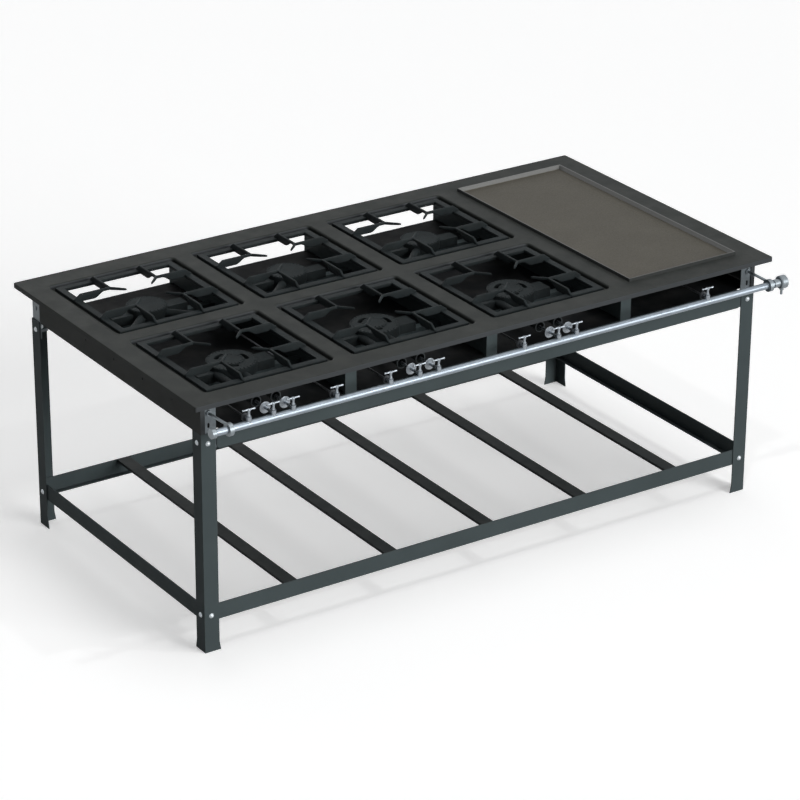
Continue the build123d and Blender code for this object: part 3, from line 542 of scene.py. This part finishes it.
@dataclass(frozen=True)
class GriddleFinish(Finish):
    """Seasoned cooking face, brown and mottled, inside a ground steel rim with dark outer sides."""

    seasoned: Colour
    burnt: Colour
    rim: Colour
    side: Colour
    face_top: float
    low: Point
    high: Point
    # Colour of the rim's edges: partly worn steel, partly painted highlight on the rim tops.
    rubbed_and_highlit: Colour = (0.4, 0.4, 0.39)
    rim_blend: Pair = (0.0002, 0.0012)
    side_blend: Pair = (0.0009, 0.0005)
    relief: float = 0.00012

    def cover(self, coat: Coat) -> None:
        """Lays spots and scrapes over the face, and grinding lines and bright edges over the rim; these edges
        are partly worn steel and partly painted highlight.

        Args:
            coat: The material's node sheet.
        """
        cloud = coat.tone(Mask.CLOUD, scale=9.0, contrast=0.24)
        face = coat.mix(cloud, shade(self.seasoned, 0.85), shade(self.seasoned, 1.12))
        spots = coat.tone(Mask.SPECKLE, scale=210.0, contrast=0.25)
        face = coat.lay(face, self.burnt, spots, share=0.55)
        fine = coat.tone(Mask.SPECKLE, scale=700.0, contrast=0.35)
        face = coat.lay(face, shade(self.seasoned, 1.7), fine, share=0.25)
        scrapes = coat.lines((14.0, 500.0, 1.0))
        face = coat.lay(face, shade(self.seasoned, 1.5), scrapes, share=0.12)
        rim = coat.lay(self.rim, shade(self.rim, 0.7), coat.lines((300.0, 300.0, 900.0)), share=0.5)
        # Bright rim edges: partly worn, partly painted highlight.
        rim = coat.lay(rim, self.rubbed_and_highlit, coat.edges(radius=0.0012, breakup=90.0), share=0.5)
        rim = coat.mix(self._outside(coat), rim, self.side)
        starts, ends = (self.face_top + height for height in self.rim_blend)
        above = coat.span(coat.part(coat.place, 2), starts, ends)
        shader = {
            "Base Color": coat.mix(above, face, rim),
            "Roughness": coat.span(spots, 0.0, 1.0, to_low=0.42, to_high=0.58),
            "Metallic": coat.math("MULTIPLY", above, 0.5),
            "Specular IOR Level": 0.1,
        }
        height = coat.math("ADD", spots, coat.math("MULTIPLY", scrapes, 0.4))
        coat.finish(shader, height, self.relief)

    def _outside(self, coat: Coat) -> Socket:
        """1 on the rim's outer sides: where the distance from the middle is half the plate's size.

        Args:
            coat: The material's node sheet.

        Returns:
            The mask's socket.
        """
        middle = tuple((a + b) / 2 for a, b in zip(self.low, self.high))
        halves = [(b - a) / 2 for a, b in zip(self.low, self.high)]
        pair = {0: coat.place, 1: middle}
        offset = coat.add("ShaderNodeVectorMath", pair, operation="SUBTRACT").outputs[0]
        distance = coat.add("ShaderNodeVectorMath", {0: offset}, operation="ABSOLUTE").outputs[0]
        starts, ends = self.side_blend
        masks = [coat.span(coat.part(distance, i), halves[i] - starts, halves[i] - ends) for i in (0, 1)]
        return coat.math("MAXIMUM", *masks)


# Surfaces


def grid_faces(rows: int, columns: int, close_rows: bool, close_columns: bool) -> np.ndarray:
    """Quads of a grid of points, numbered row by row.

    Args:
        rows: Points along the first parameter.
        columns: Points along the second parameter.
        close_rows: Joins the last row to the first.
        close_columns: Joins the last column to the first.

    Returns:
        One line of four point numbers for each quad.
    """
    i = np.arange(rows if close_rows else rows - 1)[:, None]
    j = np.arange(columns if close_columns else columns - 1)[None, :]
    after_i = (i + 1) % rows
    after_j = (j + 1) % columns
    corners = (i * columns + j, after_i * columns + j, after_i * columns + after_j, i * columns + after_j)
    return np.stack(np.broadcast_arrays(*corners), axis=-1).reshape(-1, 4)


class Shell:
    """Gathers surfaces for one mesh."""

    def __init__(self) -> None:
        """Starts empty."""
        self.points: list[np.ndarray] = []
        self.faces: list[list[int]] = []
        self.count = 0

    def grid(
        self, points: np.ndarray, close_rows: bool = False, close_columns: bool = True, caps: bool = True
    ) -> None:
        """Adds a surface given as a grid of points.

        Args:
            points: Array of rows by columns by 3.
            close_rows: Joins the last row to the first.
            close_columns: Joins the last column to the first.
            caps: Closes the first and the last row with a face each.
        """
        rows, columns = points.shape[:2]
        quads = grid_faces(rows, columns, close_rows, close_columns) + self.count
        self.faces += quads.tolist()
        if caps and not close_rows:
            first = np.arange(columns) + self.count
            self.faces += [first.tolist(), (first[::-1] + (rows - 1) * columns).tolist()]
        self.points.append(points.reshape(-1, 3))
        self.count += rows * columns

    def piece(self, name: str, material: bpy.types.Material, smooth_angle: float = 35.0) -> bpy.types.Object:
        """Makes the object.

        Args:
            name: The piece's name.
            material: Its material.
            smooth_angle: Edges sharper than this, in degrees, stay sharp.

        Returns:
            The object, at the origin, with its place in its mesh.
        """
        mesh = bpy.data.meshes.new(name)
        mesh.from_pydata(np.concatenate(self.points).tolist(), [], self.faces)
        mesh.validate()
        outward(mesh)
        mesh.shade_smooth()
        mesh.set_sharp_from_angle(angle=math.radians(smooth_angle))
        mesh.materials.append(material)
        piece = bpy.data.objects.new(name, mesh)
        bpy.context.scene.collection.objects.link(piece)
        return piece


def outward(mesh: bpy.types.Mesh) -> None:
    """Turns each closed surface of a mesh outwards.

    Args:
        mesh: The mesh to change.
    """
    work = bmesh.new()
    work.from_mesh(mesh)
    bmesh.ops.recalc_face_normals(work, faces=work.faces)
    work.to_mesh(mesh)
    work.free()


def lathe(profile: np.ndarray, centre: Point, axis: int, steps: int) -> np.ndarray:
    """Surface of revolution.

    A point at distance a along the axis and radius r goes to a on the axis, and to r cos t and r sin t
    on the two axes across it, for t round a full turn.

    Args:
        profile: Lines of distance along the axis and radius, in metres.
        centre: Where the axis starts.
        axis: 0, 1 or 2 for an axis along X, Y or Z.
        steps: Points round the turn.

    Returns:
        The grid of points.
    """
    turn = np.linspace(0.0, 2.0 * np.pi, steps, endpoint=False)
    along, radius = profile[:, :1], profile[:, 1:2]
    grid = np.empty((len(profile), steps, 3))
    grid[..., axis] = centre[axis] + along
    grid[..., (axis + 1) % 3] = centre[(axis + 1) % 3] + radius * np.cos(turn)
    grid[..., (axis + 2) % 3] = centre[(axis + 2) % 3] + radius * np.sin(turn)
    return grid


def soft_box_section(width: np.ndarray, low: np.ndarray, high: np.ndarray, radius: float) -> np.ndarray:
    """Upright sections with rounded corners, one for each station.

    Each section is a rectangle of the given width between low and high, with quarter circles of the given
    radius at its four corners, five points on each.

    Args:
        width: Full width at each station.
        low: Lower edge at each station.
        high: Upper edge at each station.
        radius: Radius of the corners, at most 98 % of half the section's smaller side.

    Returns:
        Array of stations by 20 by 2: distance across and height.
    """
    half = width / 2
    limit = np.minimum(radius, np.minimum(half, (high - low) / 2) * 0.98)[:, None]
    quarter = np.linspace(0.0, np.pi / 2, 5)
    parts = []
    for side, level, start in ((1, 1, 0.0), (-1, 1, 0.5), (-1, -1, 1.0), (1, -1, 1.5)):
        angle = quarter + start * np.pi
        centre_across = side * (half[:, None] - limit)
        edge = high if level > 0 else low
        centre_up = edge[:, None] - level * limit
        across = centre_across + limit * np.cos(angle)
        parts.append(np.stack([across, centre_up + limit * np.sin(angle)], axis=-1))
    return np.concatenate(parts, axis=1)


# Sub-assemblies


def dress(material: bpy.types.Material, *nodes: str) -> None:
    """Gives nodes of the frame a finish.

    Args:
        material: The finish.
        nodes: Names of the nodes.
    """
    for name in nodes:
        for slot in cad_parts[name].material_slots:
            slot.material = material
        log.info("dressed %s with %s", name, material.name)


@dataclass
class Table:
    """Painted plate, end panels and open frame with its shelf, bolts and brackets."""

    plate_paint: PaintFinish
    frame_paint: PaintFinish
    # Darker copy of the frame paint for the shelf: painted shade.
    shaded_shelf_paint: PaintFinish
    bracket_zinc: ZincFinish
    bolt_zinc: ZincFinish
    corners: tuple[str, ...] = ("front_left", "front_right", "back_left", "back_right")

    def build(self, effects: SharedEffects) -> None:
        """Dresses the nodes of the table.

        Args:
            effects: The shared effects.
        """
        dress(self.plate_paint.material(effects), "top_plate", "end_panels")
        rails = ("front_rail", "back_rail", "frame_posts", "cross_members", "burner_bars")
        legs = tuple(f"leg_{corner}" for corner in self.corners)
        dress(self.frame_paint.material(effects), *rails, *legs, "long_shelf_rails", "short_shelf_rails")
        # The shelf's darker paint is painted shade, standing in for the table's shadow over the slats.
        dress(self.shaded_shelf_paint.material(effects), "shelf_slats")
        dress(self.bracket_zinc.material(effects), "corner_brackets")
        dress(self.bolt_zinc.material(effects), "frame_bolts")


@dataclass
class Grates:
    """Six cast grates, with rounded ribs, tapered forked fingers and a rim with soft edges."""

    iron: CastFinish

    # Rim
    size: float = 0.400
    rim_width: float = 0.022
    rim_low: float = PLATE_TOP - 0.013
    rim_high: float = PLATE_TOP - 0.003
    rim_rounding: float = 0.0018

    # Ribs, with their web at the rim and the scoop towards the fork
    rib_rise: float = 0.015
    rib_top: float = PLATE_TOP + rib_rise
    rib_line: float = 0.080
    rib_width: float = 0.0075
    rib_rounding: float = 0.0026
    rib_slope: float = 0.020
    rib_end: tuple[float, ...] = (0.014, 0.0015, 0.0)
    rib_end_width: float = 0.7
    web_low: float = PLATE_TOP - 0.010
    web_length: float = 0.044
    scoop_length: float = 0.036
    foot_rise: float = 0.0005
    foot_step: float = 0.0002

    # Fingers: stations are shares of their length, widths are shares of a rib's
    finger_depth: float = 0.009
    finger_rise: float = 0.002
    finger_taper: float = 0.22
    finger_tip: float = 0.0445
    root_stations: tuple[float, ...] = (-0.07, -0.045)
    root_widths: tuple[float, ...] = (0.45, 0.9)
    tip_stations: tuple[float, ...] = (0.97, 1.03, 1.06)
    tip_widths: tuple[float, ...] = (0.9, 0.62, 0.25)
    tip_falls: tuple[float, ...] = (0.0002, 0.0009, 0.0022)
    tip_rises: tuple[float, ...] = (0.0001, 0.0005, 0.0014)

    def build(self, effects: SharedEffects) -> None:
        """Makes the six grates and lets them replace the frame's plain ones.

        Args:
            effects: The shared effects.
        """
        material = self.iron.material(effects)
        for row, y in ROWS.items():
            for column, x in COLUMNS.items():
                shell, middle = Shell(), (x, y)
                self._rim(shell, middle)
                for turn in range(4):
                    for side in (-1, 1):
                        self._rib(shell, middle, turn, side)
                    self._finger(shell, middle, turn)
                node = f"grate_{row}_{column}"
                piece = shell.piece(f"cast_{node}", material)
                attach(piece, node)
                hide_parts(node)
                log.info("made %s", piece.name)

    def _rim(self, shell: Shell, middle: Pair) -> None:
        """Carries a soft rectangular section round the square of the rim, mitred at its corners.

        At each corner the distance across the section is added to both coordinates of the corner.

        Args:
            shell: The mesh to add to.
            middle: Middle of the grate.
        """
        width, low, high = (np.array([size]) for size in (self.rim_width, self.rim_low, self.rim_high))
        section = soft_box_section(width, low, high, self.rim_rounding)[0]
        half = (self.size - self.rim_width) / 2
        ways = np.array([(1, 1), (-1, 1), (-1, -1), (1, -1)], dtype=float)
        grid = np.empty((4, len(section), 3))
        reach = half + section[:, 0]
        grid[..., 0] = middle[0] + ways[:, :1] * reach
        grid[..., 1] = middle[1] + ways[:, 1:] * reach
        grid[..., 2] = section[:, 1]
        shell.grid(grid, close_rows=True)

    def _rib(self, shell: Shell, middle: Pair, turn: int, side: int) -> None:
        """Adds a rib from the rim to its fork, as sections at stations along it.

        The top is level and then falls to the plate's level at the rim's outer edge. The bottom is deep at
        the rim, then rises along a smooth cosine to the depth of the finger.

        Args:
            shell: The mesh to add to.
            middle: Middle of the grate.
            turn: Side of the grate, in quarter turns.
            side: -1 or 1 for the two ribs of that side.
        """
        outer = self.size / 2
        inner = outer - self.rim_width
        web_end = inner - self.web_length
        scoop_end = web_end - self.scoop_length
        slope_start = outer - self.rib_slope
        finger_low = self.rib_top - self.finger_depth
        stations = np.concatenate(
            [
                np.linspace(self.rib_line, scoop_end, 4),
                np.linspace(scoop_end, web_end, 12)[1:],
                [inner - self.foot_step, inner, slope_start],
                outer - np.array(self.rib_end),
            ]
        )
        blend = np.clip((stations - scoop_end) / (web_end - scoop_end), 0.0, 1.0)
        low = finger_low + (self.web_low - finger_low) * (1 - np.cos(np.pi * blend)) / 2
        low = np.where(stations >= inner, self.rim_low + self.foot_rise, low)
        high = self.rib_top - self.rib_rise * np.clip((stations - slope_start) / self.rib_slope, 0.0, 1.0)
        high[-1] = high[-2]
        width = np.full(len(stations), self.rib_width)
        width[-1] *= self.rib_end_width
        section = soft_box_section(width, low, high, self.rib_rounding)
        across = section[..., 0] + side * self.rib_line
        along = np.broadcast_to(stations[:, None], across.shape)
        shell.grid(self._turned(along, across, section[..., 1], middle, turn))

    def _finger(self, shell: Shell, middle: Pair, turn: int) -> None:
        """Adds the slanted finger of one fork, which gets thinner and shallower to its rounded tip.

        Args:
            shell: The mesh to add to.
            middle: Middle of the grate.
            turn: Corner of the grate, in quarter turns.
        """
        length = (self.rib_line - self.finger_tip) * math.sqrt(2)
        body = np.linspace(0.0, 0.9, 8)
        share = np.concatenate([self.root_stations, body, self.tip_stations])
        inside = np.clip(share, 0.0, 1.0)
        low = self.rib_top - self.finger_depth + self.finger_rise * inside**2
        high = np.full(len(share), self.rib_top)
        low[-len(self.tip_rises):] += self.tip_rises
        high[-len(self.tip_falls):] -= self.tip_falls
        fullness = np.concatenate([self.root_widths, np.ones(len(body)), self.tip_widths])
        width = self.rib_width * (1.0 - self.finger_taper * inside) * fullness
        section = soft_box_section(width, low, high, self.rib_rounding)
        slant = math.sqrt(0.5)
        back = self.rib_line - share[:, None] * length * slant
        aside = section[..., 0] * slant
        shell.grid(self._turned(back + aside, back - aside, section[..., 1], middle, turn))

    @staticmethod
    def _turned(along: np.ndarray, across: np.ndarray, up: np.ndarray, middle: Pair, turn: int) -> np.ndarray:
        """Turns points by quarter turns about the grate's middle.

        Args:
            along: Distances out from the middle.
            across: Distances sideways.
            up: Heights.
            middle: Middle of the grate.
            turn: Number of quarter turns.

        Returns:
            The points in the row's frame.
        """
        cos, sin = ((1, 0), (0, 1), (-1, 0), (0, -1))[turn]
        x, y = middle
        return np.stack([x + along * cos - across * sin, y + along * sin + across * cos, up], axis=-1)


@dataclass
class Burners:
    """Cast burners under the grates and the tube burner of the griddle."""

    iron: CastFinish

    def build(self, effects: SharedEffects) -> None:
        """Dresses the burners.

        Args:
            effects: The shared effects.
        """
        material = self.iron.material(effects)
        heads = [f"{row}_burner_{column}" for row in ("double", "back") for column in COLUMNS]
        dress(material, *heads, "griddle_burner")


@dataclass
class DripSheets:
    """Four sheets on the rails, sooty and darkened further as painted shade, cut closely round the posts and
    met under the cross members.
    """

    soot_and_shade: PaintFinish
    posts: tuple[float, ...] = (-0.4995, -0.0075, 0.4845)
    notch_half: float = 0.0205
    notch_depth: float = 0.0085
    seam_half: float = 0.001

    def build(self, effects: SharedEffects) -> None:
        """Makes the sheets and lets them replace the frame's more widely cut ones.

        Args:
            effects: The shared effects.
        """
        low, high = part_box("drip_sheets")
        shell = Shell()
        for left, right in zip((None, *self.posts), (*self.posts, None)):
            side = self._side(left, low[0], 1, low[1], high[1])
            outline = np.array(side[::-1] + self._side(right, high[0], -1, low[1], high[1]))
            grid = np.empty((2, len(outline), 3))
            grid[..., :2] = outline
            grid[..., 2] = np.array([[low[2]], [high[2]]])
            shell.grid(grid)
        # Near-black colour: sooty sheet metal, darkened further as painted shade under the burners.
        piece = shell.piece("sooty_shaded_sheets", self.soot_and_shade.material(effects))
        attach(piece, "stove")
        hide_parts("drip_sheets")
        log.info("made %s", piece.name)

    def _side(
        self, post: float | None, edge: float, way: int, front: float, back: float
    ) -> list[Pair]:
        """One side of a sheet from front to back: straight at a panel, stepped round the posts elsewhere.

        Args:
            post: Middle of the posts on that side, or None at an end panel.
            edge: Where the side runs at an end panel.
            way: 1 if the sheet lies on the post's right, -1 on its left.
            front: The sheet's front edge.
            back: The sheet's back edge.

        Returns:
            Points of the outline.
        """
        if post is None:
            return [(edge, front), (edge, back)]
        beside, seam = post + way * self.notch_half, post + way * self.seam_half
        steps = (front, front + self.notch_depth, back - self.notch_depth, back)
        return [
            (beside, steps[0]),
            (beside, steps[1]),
            (seam, steps[1]),
            (seam, steps[2]),
            (beside, steps[2]),
            (beside, steps[3]),
        ]


@dataclass
class Griddle:
    """Griddle plate with its ground rim."""

    steel: GriddleFinish

    def build(self, effects: SharedEffects) -> None:
        """Dresses the griddle.

        Args:
            effects: The shared effects.
        """
        dress(self.steel.material(effects), "griddle_plate")


@dataclass
class GasTrain:
    """Gas pipe with its fittings, hangers, taps, air discs and thin feed tubes."""

    pipe: ZincFinish
    fittings: ZincFinish
    chrome: ZincFinish
    discs: ZincFinish
    tubes: ZincFinish
    plug_length: float = 0.0122
    plug_radius: float = 0.0039
    stem_radius: float = 0.00575
    dome_height: float = 0.0024
    lever_half: float = 0.022
    lever_radius: float = 0.003

    def build(self, effects: SharedEffects) -> None:
        """Dresses the pipe and its fittings and makes the levers.

        Args:
            effects: The shared effects.
        """
        dress(self.pipe.material(effects), "manifold_pipe")
        dress(self.fittings.material(effects), "pipe_cap", "inlet_union", "hose_nipple", "pipe_hangers")
        chrome = self.chrome.material(effects)
        dress(chrome, "tap_bodies")
        dress(self.tubes.material(effects), "feed_tubes")
        dress(self.discs.material(effects), *(f"air_disc_{number}" for number in NEAR_TAPS))
        for number in range(1, TAP_COUNT + 1):
            self._lever(number, chrome)

    def _lever(self, number: int, chrome: bpy.types.Material) -> None:
        """Makes a tap's plug, stem and cross lever with round ends, as two turned surfaces.

        Args:
            number: The tap's number, from the left.
            chrome: The taps' material.
        """
        node = f"tap_handle_{number}"
        low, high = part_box(node)
        x, y = (low[0] + high[0]) / 2, (low[1] + high[1]) / 2
        shell = Shell()
        stem, arm = self._stem_profile(high[2] - low[2]), self._arm_profile()
        shell.grid(lathe(stem, (x, y, low[2]), axis=2, steps=28), caps=False)
        shell.grid(lathe(arm, (x, y, high[2] - self.lever_radius), axis=0, steps=20), caps=False)
        piece = shell.piece(f"lever_{number}", chrome, smooth_angle=40.0)
        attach(piece, node)
        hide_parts(node)
        log.info("made %s", piece.name)

    def _stem_profile(self, height: float) -> np.ndarray:
        """Profile of plug and stem: a collar on the plug, a waist and a head with a quarter-ellipse dome.

        Args:
            height: Full height of the handle.

        Returns:
            Lines of height above the plug's foot and radius.
        """
        plug = [(0.0, 0.0), (0.0, self.plug_radius), (self.plug_length, self.plug_radius)]
        collar = np.array([(0.0, 0.94), (0.0004, 1.0), (0.0036, 1.0), (0.0042, 0.8), (0.0080, 0.68)])
        head = np.array([(-0.0088, 0.72), (-0.0064, 0.93), (-0.0046, 0.98)])
        angle = np.linspace(0.0, np.pi / 2, 7)
        dome = np.stack([self.dome_height * (np.sin(angle) - 1.0), 0.98 * np.cos(angle)], axis=-1)
        stem = np.concatenate([collar + (self.plug_length, 0.0), head + (height, 0.0), dome + (height, 0.0)])
        return np.concatenate([plug, stem * (1.0, self.stem_radius)])

    def _arm_profile(self) -> np.ndarray:
        """Profile of the cross lever: thin beside the stem, swelling to a ball at each end.

        Returns:
            Lines of distance from the middle and radius.
        """
        angle = np.linspace(np.pi, 0.35 * np.pi, 8)
        ball = np.stack([1.0 + np.cos(angle), np.sin(angle)], axis=-1) * self.lever_radius
        neck = np.array([(2.2, 0.78), (11.0 / 3.0, 0.72), (5.5, 0.9)]) * self.lever_radius
        left = np.concatenate([ball, neck]) - (self.lever_half, 0.0)
        return np.concatenate([left, left[::-1] * (-1.0, 1.0)])


# Studio


@dataclass
class Studio:
    """Pale floor and sky, three soft lights, a small high one and the camera at the photograph's angle."""

    camera_place: Point = (-5.1635, -7.6922, 4.5804)
    yaw: float = math.radians(-33.786)
    pitch: float = math.radians(24.413)
    roll: float = math.radians(0.356)
    lens: float = 148.32
    floor_half: float = 60.0
    floor_base: Colour = (0.95, 0.95, 0.95)
    floor_bounce: Colour = (0.2, 0.2, 0.2)
    floor_lift: float = 0.39
    sky: Colour = (0.96, 0.98, 1.0)
    sky_light: float = 0.10

    def build(self, effects: SharedEffects) -> None:
        """Makes the floor, the lights and the camera.

        Args:
            effects: The shared effects.
        """
        self._floor(effects)
        self._world()
        self._sun("front_light", facing_front_or_back=(0.40, -1.0, 0.30), strength=3.0, softness=40.0)
        self._sun("top_light", facing_front_or_back=(0.12, 0.0, 1.0), strength=0.68, softness=30.0)
        self._sun("back_light", facing_front_or_back=(0.1, 1.0, 0.15), strength=0.7, softness=40.0)
        self._bulb("high_light", place=(0.03, -1.33, 3.16), power=30.0, radius=0.02)
        self._camera()

    def _floor(self, effects: SharedEffects) -> None:
        """Large floor, pale to the camera and in reflections, that keeps the object's shadow.

        Args:
            effects: The shared effects.
        """
        shell = Shell()
        side = np.array([-self.floor_half, self.floor_half])
        grid = np.zeros((2, 2, 3))
        grid[..., 0], grid[..., 1] = side[:, None], side[None, :]
        shell.grid(grid, close_columns=False, caps=False)
        coat = Coat("pale_floor", effects)
        cloud = coat.noise(coat.place, 0.8, detail=2.0)
        pale = coat.mix(cloud, shade(self.floor_base, 0.99), self.floor_base)
        seen = coat.seen()
        colour = coat.mix(seen, self.floor_bounce, pale)
        diffuse = coat.add("ShaderNodeBsdfDiffuse", {"Color": colour}).outputs[0]
        lift = coat.math("MULTIPLY", seen, self.floor_lift)
        glow = coat.add("ShaderNodeEmission", {"Strength": lift}).outputs[0]
        surface = coat.add("ShaderNodeAddShader", {0: diffuse, 1: glow}).outputs[0]
        coat.add("ShaderNodeOutputMaterial", {"Surface": surface})
        floor = shell.piece("floor", coat.material)

    def _world(self) -> None:
        """White to the camera and in reflections, and a weaker even light on the object."""
        world = bpy.data.worlds.new("studio")
        world.use_nodes = True
        bpy.context.scene.world = world
        sheet = NodeSheet(world.node_tree)
        strength = sheet.span(sheet.seen(), 0.0, 1.0, to_low=self.sky_light)
        light = sheet.add("ShaderNodeBackground", {"Color": rgba(self.sky), "Strength": strength})
        sheet.add("ShaderNodeOutputWorld", {"Surface": light.outputs[0]})

    def _sun(self, name: str, facing_front_or_back: Point, strength: float, softness: float) -> None:
        """Adds a distant light.

        Args:
            name: The light's name.
            facing_front_or_back: Direction from the object to the light.
            strength: Its strength.
            softness: Its apparent width in degrees.
        """
        data = bpy.data.lights.new(name, "SUN")
        data.energy = strength
        data.angle = math.radians(softness)
        way = np.array(facing_front_or_back) / np.linalg.norm(facing_front_or_back)
        self._hung(data).rotation_euler = (math.acos(way[2]), 0.0, math.atan2(way[0], -way[1]))

    def _bulb(self, name: str, place: Point, power: float, radius: float) -> None:
        """Adds a small near light, whose thin sharp shadows lie under the front of the table.

        Args:
            name: The light's name.
            place: Where it hangs.
            power: Its power in watts.
            radius: Its radius in metres.
        """
        data = bpy.data.lights.new(name, "POINT")
        data.energy = power
        data.shadow_soft_size = radius
        self._hung(data).location = place

    def _hung(self, data: bpy.types.ID) -> bpy.types.Object:
        """Puts a light or a camera into the scene, under its own name.

        Args:
            data: The light's or camera's data.

        Returns:
            The object.
        """
        thing = bpy.data.objects.new(data.name, data)
        bpy.context.scene.collection.objects.link(thing)
        return thing

    def _camera(self) -> None:
        """Camera whose direction comes from yaw, pitch and roll."""
        away = np.array(
            [
                -math.sin(self.yaw) * math.cos(self.pitch),
                math.cos(self.yaw) * math.cos(self.pitch),
                -math.sin(self.pitch),
            ]
        )
        level = np.array([math.cos(self.yaw), math.sin(self.yaw), 0.0])
        upright = np.cross(level, away)
        right = math.cos(self.roll) * level + math.sin(self.roll) * upright
        up = -math.sin(self.roll) * level + math.cos(self.roll) * upright
        data = bpy.data.cameras.new("camera")
        data.sensor_width = 36.0
        data.lens = self.lens
        data.clip_end = 200.0
        camera = self._hung(data)
        turn = np.column_stack([right, up, -away])
        camera.matrix_world = Matrix.Translation(self.camera_place) @ Matrix(turn.tolist()).to_4x4()
        bpy.context.scene.camera = camera


def main() -> None:
    """Builds and dresses every piece."""
    logging.basicConfig(level=logging.INFO, format="%(message)s")
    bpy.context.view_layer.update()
    bpy.context.scene.view_settings.view_transform = "Standard"
    effects = SharedEffects()
    # Edge colour of the paints: partly worn, partly painted highlight.
    rubbed_and_highlit = (0.11, 0.12, 0.12)
    Table(
        plate_paint=PaintFinish(
            "plate_paint",
            base=(0.037, 0.040, 0.038),
            rubbed_and_highlit=rubbed_and_highlit,
            roughness=0.5,
            specular=0.04,
            wear_and_highlight=0.3,
            # Painted light: a lighter tone for the plate's front and back faces, such as its front lip.
            painted_front_light=(0.058, 0.063, 0.067),
        ),
        frame_paint=PaintFinish(
            "frame_paint", base=(0.057, 0.072, 0.075), rubbed_and_highlit=rubbed_and_highlit, roughness=0.5, specular=0.05, wear_and_highlight=0.4
        ),
        # Painted shade: the frame's paint made darker for the slats, which lie under the table.
        shaded_shelf_paint=PaintFinish(
            "shaded_shelf_paint", base=(0.026, 0.030, 0.030), rubbed_and_highlit=rubbed_and_highlit, roughness=0.5, specular=0.05
        ),
        bracket_zinc=ZincFinish("bracket_zinc", base=(0.15, 0.175, 0.19), roughness=0.45, metallic=0.5),
        bolt_zinc=ZincFinish(
            "bolt_zinc", base=(0.50, 0.54, 0.56), roughness=0.34, metallic=0.7, grain_scale=300, spread=0.12
        ),
    ).build(effects)
    Grates(
        CastFinish("grate_iron", base=(0.013, 0.017, 0.018), rubbed_and_highlit=(0.042, 0.05, 0.052), roughness=0.6)
    ).build(effects)
    Burners(
        CastFinish(
            "burner_iron",
            base=(0.014, 0.018, 0.019),
            rubbed_and_highlit=(0.038, 0.046, 0.048),
            roughness=0.62,
            faced_y=MOUTH_Y + MOUTH_FACED,
        )
    ).build(effects)
    DripSheets(
        # Near-black: sooty sheet metal, darkened further as painted shade under the burners.
        PaintFinish(
            "drip_soot_and_shade",
            base=(0.010, 0.011, 0.012),
            rubbed_and_highlit=(0.02, 0.02, 0.022),
            roughness=0.65,
            specular=0.04,
            wear_and_highlight=0.2,
        )
    ).build(effects)
    griddle_low, griddle_high = (tuple(corner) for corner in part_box("griddle_plate"))
    Griddle(
        GriddleFinish(
            "griddle_steel",
            seasoned=(0.088, 0.081, 0.065),
            burnt=(0.045, 0.039, 0.031),
            rim=(0.135, 0.135, 0.13),
            side=(0.045, 0.048, 0.047),
            face_top=GRIDDLE_FACE,
            low=griddle_low,
            high=griddle_high,
        )
    ).build(effects)
    GasTrain(
        pipe=ZincFinish(
            "pipe_zinc",
            base=(0.26, 0.30, 0.34),
            roughness=0.36,
            metallic=0.65,
            grain_scale=60,
            spread=0.1,
            lines=(12.0, 900.0, 900.0),
        ),
        fittings=ZincFinish(
            "fitting_zinc", base=(0.24, 0.27, 0.29), roughness=0.4, metallic=0.7, grain_scale=160, spread=0.15
        ),
        chrome=ZincFinish(
            "tap_chrome", base=(0.30, 0.33, 0.36), roughness=0.28, metallic=0.8, grain_scale=220, spread=0.06
        ),
        discs=ZincFinish(
            "disc_metal", base=(0.36, 0.39, 0.42), roughness=0.34, metallic=0.7, grain_scale=260, spread=0.08
        ),
        tubes=ZincFinish(
            "tube_steel", base=(0.06, 0.064, 0.07), roughness=0.5, metallic=0.5, grain_scale=260, spread=0.1
        ),
    ).build(effects)
    Studio().build(effects)


if __name__ == "__main__":
    main()
